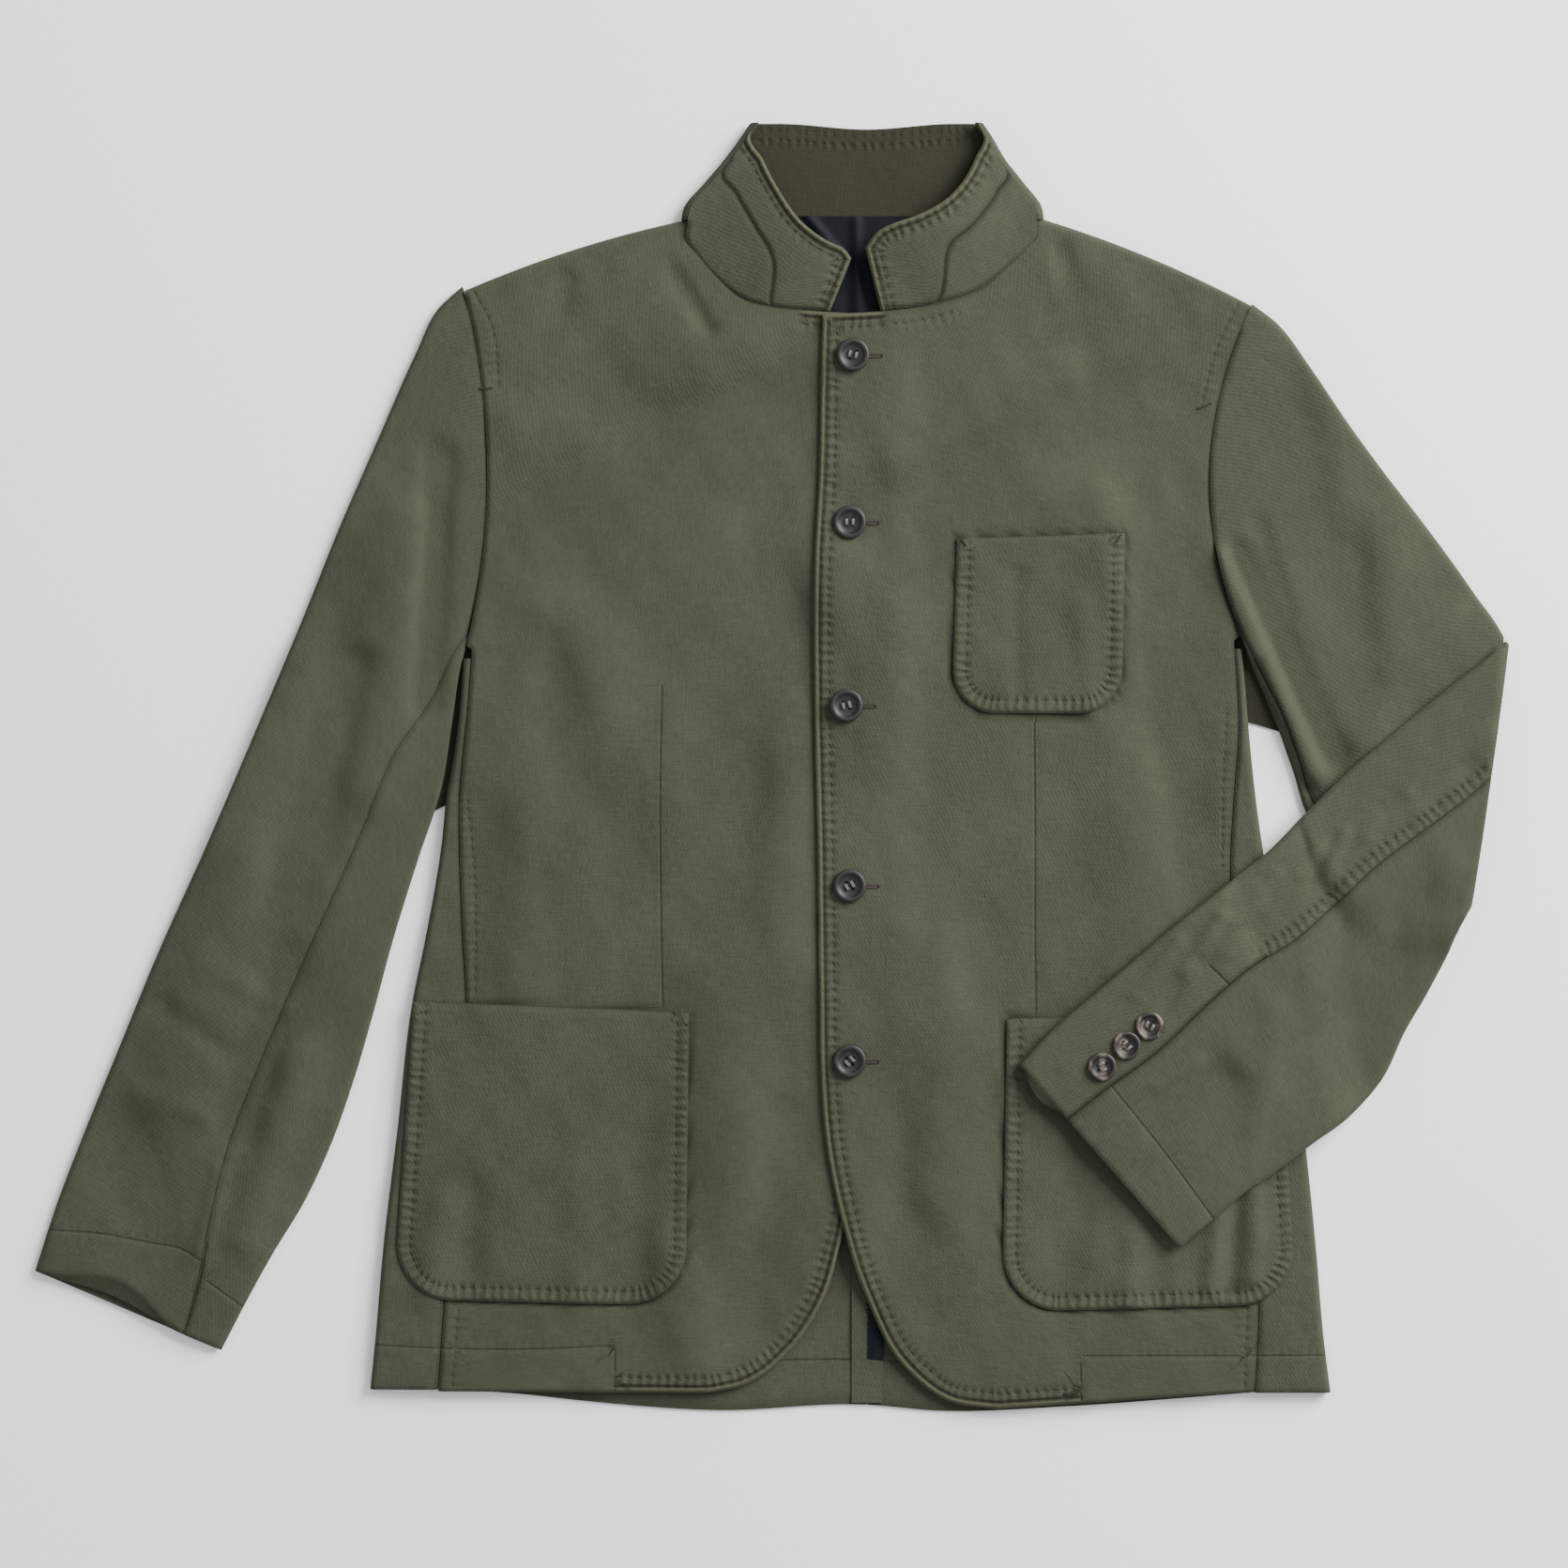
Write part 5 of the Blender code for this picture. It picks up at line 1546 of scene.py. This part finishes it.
def sew_front(lines, outward, at):
    """The sewing of a front: at(row) is the place in v of a row of its table."""

    def sew(sewn, surface):
        front_edge = border(surface, (0, at(NECK_ROW)), (0, at(FRONT_CORNER_ROW)), (0, 1))
        hem = border(surface, *HEM_EDGE)
        cutaway = hem[outward * (hem[:, 0] - lines["hem_step"][0][0]) < 0]
        rolled = joined(front_edge, cutaway)
        sewn.piping(rolled)
        sewn.row("topstitch", rolled, offset=TOPSTITCH_IN, side=outward)
        sewn.edge(rolled)
        sewn.edge(hem)
        sewn.edge(border(surface, (0, at(0)), (0, at(NECK_ROW))), "seam")
        if "neck" in lines:
            sewn.row("row", drawn(lines["neck"]))
        sewn.edge(border(surface, (1, at(0)), (1, 1)), "seam")
        sewn.row("dart", drawn(lines["dart"]))
        sewn.row("row", drawn(lines["side"]), side=-outward)
        sewn.row("row", drawn(lines["lower"]), side=outward)
        sewn.row("row", drawn(lines["armhole"]), side=-outward)
        sewn.row("band", drawn(lines["hem"]), side=-1)
        sewn.row("line", drawn(lines["hem_step"]))
        for node in lines["pockets"]:
            # The front is drawn in along the pocket that is sewn on it, with a line of painted shadow outside the
            # pocket's edge
            shaded_outline = border(pocket_surface(**POCKETS[node]), *ALL_BUT_TOP, (0, 0))
            sewn.row("shaded_outline", shaded_outline, offset=0.6, side=-1)

    return sew


def sew_forearm_top(sewn, surface):
    sewn.edge(border(surface, *LONG_EDGE))
    sewn.edge(border(surface, *HEM_EDGE))
    sewn.row("puckered_seam", border(surface, (0, 0), (0, VENT_START)), offset=7.0, side=-1)
    # A line of painted shade along the vent's edge, where the top sleeve lies over the under sleeve
    sewn.edge(border(surface, (0, VENT_START), (0, 1)), "shaded_outline")
    sewn.row("line", drawn(VENT_BAR))


def sew_collar_edge(outward):
    """The sewing of a collar front's edge piece: its free edge is rolled and stitched."""

    def sew(sewn, surface):
        free = border(surface, (1, 0.02), (1, 1), (0, 1))
        sewn.piping(free)
        sewn.row("topstitch", free, offset=COLLAR_STITCH_IN, side=outward)
        sewn.edge(border(surface, *LONG_EDGE), "seam")
        sewn.edge(free)

    return sew


def sew_collar_back(sewn, surface):
    """Two rows along the top edge. Painted shade darkens the collar back where it lies low, and fades out as its ends
    roll up under the collar fronts.
    """
    top = border(surface, (0.12, 1), (0.88, 1))
    sewn.row("topstitch", top, offset=10.5, side=-1)
    sewn.row("row", top, offset=4.0, side=-1)
    sewn.edge(border(surface, *HEM_EDGE))
    sewn.edge(border(surface, *TOP_EDGE), "seam")
    sewn.painted_shade = np.maximum(sewn.painted_shade, 0.8 * ease((9 - sewn.z) / 3))


def sew_pocket(sewn, surface):
    sides = border(surface, *ALL_BUT_TOP)
    sewn.row("topstitch", sides, offset=POCKET_STITCH_IN)
    sewn.edge(sides)
    top = border(surface, *TOP_EDGE)
    sewn.edge(top)
    # A sunk line under the pocket's opening, with painted shade in it
    sewn.row("line", top, offset=0.8, side=-1)


# Settings

COLOUR = dict(subtype="COLOR", size=3)


class BlazerCloth(bpy.types.PropertyGroup):
    """Colours of the cloth, its painted shade, its thread and its lining"""

    light: bpy.props.FloatVectorProperty(
        name="Dyed tone", description="Paler tone of the garment-dyed twill", default=linear("#424538"), **COLOUR
    )
    shade: bpy.props.FloatVectorProperty(
        name="Dyed shade", description="Deeper tone of the garment-dyed twill", default=linear("#2E3026"), **COLOUR
    )
    # Painted shade: the colour that grooves, seams, edges, stitch dimples and shaded pieces are drawn towards
    groove: bpy.props.FloatVectorProperty(
        name="Groove",
        description="Colour of the dye in seams and between stitches",
        default=linear("#15120B"),
        **COLOUR,
    )
    worn: bpy.props.FloatVectorProperty(
        name="Worn edge",
        description="Colour of rolled edges where the dye has worn off",
        default=linear("#4B4B39"),
        **COLOUR,
    )
    thread: bpy.props.FloatVectorProperty(
        name="Sewing thread", description="Colour of buttonholes and bartacks", default=linear("#29251A"), **COLOUR
    )
    lining: bpy.props.FloatVectorProperty(
        name="Lining", description="Colour of the lining", default=linear("#0B0F17"), **COLOUR
    )
    # Painted shade in the hollows of the lining's creases
    lining_painted_shade: bpy.props.FloatVectorProperty(
        name="Lining shade", description="Deeper colour of the lining's creases", default=linear("#05080D"), **COLOUR
    )


class BlazerButtons(bpy.types.PropertyGroup):
    """Sizes and colours of the buttons"""

    front_diameter: bpy.props.FloatProperty(
        name="Front button",
        description="Diameter of the buttons on the front",
        unit="LENGTH",
        default=0.0202,
        min=0.018,
        max=0.022,
    )
    cuff_diameter: bpy.props.FloatProperty(
        name="Cuff button",
        description="Diameter of the buttons on the cuff",
        unit="LENGTH",
        default=0.0175,
        min=0.014,
        max=0.0185,
    )
    horn_dark: bpy.props.FloatVectorProperty(
        name="Dark horn", description="Main colour of the buttons", default=linear("#161314"), **COLOUR
    )
    horn_cream: bpy.props.FloatVectorProperty(
        name="Cream horn",
        description="Colour of the streaks in the cuff's buttons",
        default=linear("#5A5147"),
        **COLOUR,
    )
    horn_pale: bpy.props.FloatVectorProperty(
        name="Pale horn", description="Colour of the worn rims", default=linear("#262223"), **COLOUR
    )
    thread: bpy.props.FloatVectorProperty(
        name="Button thread",
        description="Colour of the thread that holds the buttons",
        default=linear("#62605C"),
        **COLOUR,
    )


class BlazerStage(bpy.types.PropertyGroup):
    """Floor, light and camera"""

    camera_height: bpy.props.FloatProperty(
        name="Camera height",
        description="Height of the camera above the surface that the blazer lies on",
        unit="LENGTH",
        default=3.2,
        min=1.0,
        max=10.0,
    )
    floor: bpy.props.FloatVectorProperty(
        name="Floor", description="Colour of the floor", default=linear("#F0F0F0"), **COLOUR
    )
    key_power: bpy.props.FloatProperty(
        name="Key light",
        description="Power of the large soft light",
        unit="POWER",
        default=435.0,
        min=0.0,
        max=2000.0,
    )
    key_size: bpy.props.FloatProperty(
        name="Key size",
        description="Side of the large soft light",
        unit="LENGTH",
        default=2.2,
        min=0.1,
        max=5.0,
    )


# Operators


class BLAZER_OT_back(bpy.types.Operator):
    """Lay the back with its vent and the lining that shows in the neck"""

    bl_idname = "blazer.back"
    bl_label = "Back and linings"

    def execute(self, context):
        lay_cloth("back_left", 52, 170, back_surface(ARMHOLE_LEFT, SIDE_LEFT, FRONT_LEFT), BACK_WALL)
        lay_cloth("back_right", 52, 170, back_surface(ARMHOLE_RIGHT, SIDE_RIGHT, FRONT_RIGHT), BACK_WALL)
        lie = BACK_WALL + GAP
        strip = strip_surface(**VENT_STRIP, height=lie, wall=STRIP_WALL, hem=VENT_HEM)
        lay_cloth("vent_strip", 8, 160, strip, STRIP_WALL)
        navy = strip_surface(**VENT_LINING, height=lie, wall=STRIP_WALL, folds=VENT_LINING_PLEATS)
        lay_cloth("vent_lining", 10, 40, navy, STRIP_WALL, slot="lining")
        neck = strip_surface(**NECK_LINING, height=lie, wall=LINING_WALL, folds=NECK_PLEATS)
        lay_cloth("neck_lining", 90, 56, neck, LINING_WALL, slot="lining")
        return {"FINISHED"}


class BLAZER_OT_sides(bpy.types.Operator):
    """Wrap the side bodies round the sides"""

    bl_idname = "blazer.sides"
    bl_label = "Side bodies"

    def execute(self, context):
        for node, rows in (("side_left", SIDE_LEFT), ("side_right", SIDE_RIGHT)):
            surface, across = side_surface(rows)
            lay_cloth(node, across, 150, surface, SIDE_WALL)
        return {"FINISHED"}


class BLAZER_OT_fronts(bpy.types.Operator):
    """Lay the fronts, the left one over the right"""

    bl_idname = "blazer.fronts"
    bl_label = "Fronts"

    def execute(self, context):
        surface, down, at = front_surface(FRONT_RIGHT, ARMHOLE_RIGHT, SIDE_RIGHT, body_top)
        lay_cloth("front_right", 96, down, surface, FRONT_WALL, sew_front(LINES["right"], -1, at))
        surface, down, at = front_surface(FRONT_LEFT, ARMHOLE_LEFT, SIDE_LEFT, left_front_top)
        lay_cloth("front_left", 96, down, surface, FRONT_WALL, sew_front(LINES["left"], 1, at))
        return {"FINISHED"}


class BLAZER_OT_sleeves(bpy.types.Operator):
    """Lay the right sleeve and the upper stretch of the left one"""

    bl_idname = "blazer.sleeves"
    bl_label = "Sleeves"

    def execute(self, context):
        for node, rows, from_outer, steps, down, lift in (
            ("sleeve_right_top", SLEEVE_RIGHT, True, (36, 12), 216, 14.0),
            ("sleeve_right_under", SLEEVE_RIGHT, False, (20, 14), 200, 0.0),
            ("sleeve_left_top", SLEEVE_LEFT, True, (60, 12), 120, 0.0),
            ("sleeve_left_under", SLEEVE_LEFT, False, (3, 24), 100, 0.0),
        ):
            surface, across = sleeve_surface(rows, from_outer, SLEEVE_FOLDS, on_the_surface, steps, lift)
            lay_cloth(node, across, down, surface, SLEEVE_WALL)
        for node, side, rows, high, low in (
            ("underarm_left", SIDE_LEFT, SLEEVE_LEFT, 92, 30),
            ("underarm_right", SIDE_RIGHT, SLEEVE_RIGHT, 88, -20),
        ):
            lay_cloth(node, 12, 20, underarm_surface(side, rows, high, low), LINING_WALL, shade_underarm)
        return {"FINISHED"}


class BLAZER_OT_forearm(bpy.types.Operator):
    """Fold the left forearm back over the front"""

    bl_idname = "blazer.forearm"
    bl_label = "Folded forearm"

    def execute(self, context):
        rows = forearm_rows()
        surface, across = sleeve_surface(rows, True, FOREARM_FOLDS, on_the_body, (26, 12), peek=7.0, elbow=True)
        lay_cloth("forearm_top", across, 170, surface, SLEEVE_WALL, sew_forearm_top)
        surface, across = sleeve_surface(rows, False, FOREARM_FOLDS, on_the_body, (40, 14), elbow=True)
        lay_cloth("forearm_under", across, 150, surface, SLEEVE_WALL)
        surface, across = elbow_surface()
        lay_cloth("forearm_fold", across, 60, surface, SLEEVE_WALL)
        return {"FINISHED"}


class BLAZER_OT_collar(bpy.types.Operator):
    """Set the stand collar"""

    bl_idname = "blazer.collar"
    bl_label = "Collar"

    def execute(self, context):
        surface, across = collar_back_surface()
        lay_cloth("collar_back", across, 24, surface, COLLAR_WALL, sew_collar_back)
        for side, outward, rows, neck_rows, end, top in (
            ("left", 1, COLLAR_LEFT, FRONT_LEFT, COLLAR_END_LEFT, left_front_top),
            ("right", -1, COLLAR_RIGHT, FRONT_RIGHT, COLLAR_END_RIGHT, body_top),
        ):
            stand = collar_surface(outward, rows, neck_rows, end, top, True)
            lay_cloth(f"collar_{side}_stand", 24, 70, stand, COLLAR_WALL)
            edge = collar_surface(outward, rows, neck_rows, end, top, False)
            lay_cloth(f"collar_{side}_edge", 36, 100, edge, COLLAR_WALL, sew_collar_edge(outward))
        return {"FINISHED"}


class BLAZER_OT_pockets(bpy.types.Operator):
    """Sew on the patch pockets"""

    bl_idname = "blazer.pockets"
    bl_label = "Patch pockets"

    def execute(self, context):
        for node, shape in POCKETS.items():
            across = 44 if node == "pocket_chest" else 68
            lay_cloth(node, across, 72, pocket_surface(**shape), POCKET_WALL, sew_pocket)
        return {"FINISHED"}


class BLAZER_OT_buttons(bpy.types.Operator):
    """Sew on the horn buttons, and work the buttonholes"""

    bl_idname = "blazer.buttons"
    bl_label = "Buttons and buttonholes"

    def execute(self, context):
        settings = context.scene.blazer_buttons
        for number, (x, y) in enumerate(FRONT_BUTTONS, 1):
            rest = float(left_front_top(np.array([x]), np.array([y]))[0]) + LIE_GAP
            button(f"front_button_{number}", (x, y), rest, settings.front_diameter / MM, 62 + 14 * number)
            centre = (x + BUTTONHOLE["shift"], y - BUTTONHOLE["drop"])
            run = (BUTTONHOLE["length"], BUTTONHOLE["slant"])
            buttonhole(f"buttonhole_{number}", centre, run, BUTTONHOLE, left_front_top)
        return {"FINISHED"}


class BLAZER_OT_cuff_buttons(bpy.types.Operator):
    """Sew on the cuff's buttons with their buttonholes, and work the bartacks"""

    bl_idname = "blazer.cuff_buttons"
    bl_label = "Cuff buttons and bartacks"

    def execute(self, context):
        settings = context.scene.blazer_buttons
        up = (-CUFF_DIRECTION[1], CUFF_DIRECTION[0])
        for number, (x, y) in enumerate(CUFF_BUTTONS, 1):
            button(f"cuff_button_{number}", (x, y), CUFF_REST, settings.cuff_diameter / MM, 20 * number)
            centre = (x + up[0] * CUFF_HOLE["shift"], y + up[1] * CUFF_HOLE["shift"])
            run = (up[0] * CUFF_HOLE["length"], up[1] * CUFF_HOLE["length"])
            buttonhole(f"cuff_hole_{number}", centre, run, CUFF_HOLE, on_the_cuff)
        for name, centre, run in BARTACKS:
            lies_on = left_front_top if centre[0] > CENTRE_BACK else body_top
            lifted = POCKET_WALL + LIE_GAP if "chest" in name else 0.0
            stitched_bar(name, centre, run, BARTACK, BARTACK_RISE, lambda x, y: lies_on(x, y) + lifted)
        return {"FINISHED"}


class BLAZER_OT_stage(bpy.types.Operator):
    """Set the floor, the soft lights and the camera straight above"""

    bl_idname = "blazer.stage"
    bl_label = "Floor, lights and camera"

    def execute(self, context):
        settings = context.scene.blazer_stage
        bm = bmesh.new()
        bmesh.ops.create_grid(bm, x_segments=1, y_segments=1, size=FLOOR_SIZE)
        mesh = bpy.data.meshes.new("floor")
        bm.to_mesh(mesh)
        bm.free()
        painted, _, set_shader = new_material("pale_paper")
        set_shader({"Base Color": (*settings.floor, 1.0), "Roughness": 0.95, "Specular IOR Level": 0.1})
        mesh.materials.append(painted)
        floor = put_in_scene("floor", mesh)
        floor.location.z = FLOOR_HEIGHT * MM

        world = bpy.data.worlds.new("soft_room")
        world.use_nodes = True
        set_inputs(
            world.node_tree, world.node_tree.nodes["Background"], {"Color": ROOM_COLOUR, "Strength": WORLD_LIGHT}
        )
        context.scene.world = world
        lamp = bpy.data.lights.new("key", "AREA")
        lamp.energy = settings.key_power
        lamp.size = settings.key_size
        lamp.color = KEY_COLOUR
        key = put_in_scene("key", lamp)
        key.location = KEY_FROM
        key.rotation_euler = (-Vector(KEY_FROM)).to_track_quat("-Z", "Y").to_euler()

        lens = bpy.data.cameras.new("camera")
        lens.sensor_width = 36.0
        lens.lens = lens.sensor_width * settings.camera_height / FRAME_WIDTH
        lens.clip_end = 50.0
        camera = put_in_scene("camera", lens)
        camera.location = (*(MM * c for c in FRAME_CENTRE), settings.camera_height)
        context.scene.camera = camera
        return {"FINISHED"}


OPERATORS = (
    BLAZER_OT_back,
    BLAZER_OT_sides,
    BLAZER_OT_fronts,
    BLAZER_OT_sleeves,
    BLAZER_OT_forearm,
    BLAZER_OT_collar,
    BLAZER_OT_pockets,
    BLAZER_OT_buttons,
    BLAZER_OT_cuff_buttons,
    BLAZER_OT_stage,
)


class BLAZER_PT_panel(bpy.types.Panel):
    """Lists the blazer's pieces and settings"""

    bl_idname = "BLAZER_PT_panel"
    bl_label = "Stand-collar blazer"
    bl_space_type = "VIEW_3D"
    bl_region_type = "UI"
    bl_category = "Blazer"

    def draw(self, context):
        for operator in OPERATORS:
            self.layout.operator(operator.bl_idname)
        for group in (context.scene.blazer_cloth, context.scene.blazer_buttons, context.scene.blazer_stage):
            box = self.layout.box()
            for name in group.__annotations__:
                box.prop(group, name)


CLASSES = (BlazerCloth, BlazerButtons, BlazerStage, *OPERATORS, BLAZER_PT_panel)


def register():
    for item in CLASSES:
        bpy.utils.register_class(item)
    bpy.types.Scene.blazer_cloth = bpy.props.PointerProperty(type=BlazerCloth)
    bpy.types.Scene.blazer_buttons = bpy.props.PointerProperty(type=BlazerButtons)
    bpy.types.Scene.blazer_stage = bpy.props.PointerProperty(type=BlazerStage)


def unregister():
    del bpy.types.Scene.blazer_stage
    del bpy.types.Scene.blazer_buttons
    del bpy.types.Scene.blazer_cloth
    for item in reversed(CLASSES):
        bpy.utils.unregister_class(item)


def main():
    register()
    for operator in OPERATORS:
        group, name = operator.bl_idname.split(".")
        getattr(getattr(bpy.ops, group), name)()


if __name__ == "__main__":
    main()
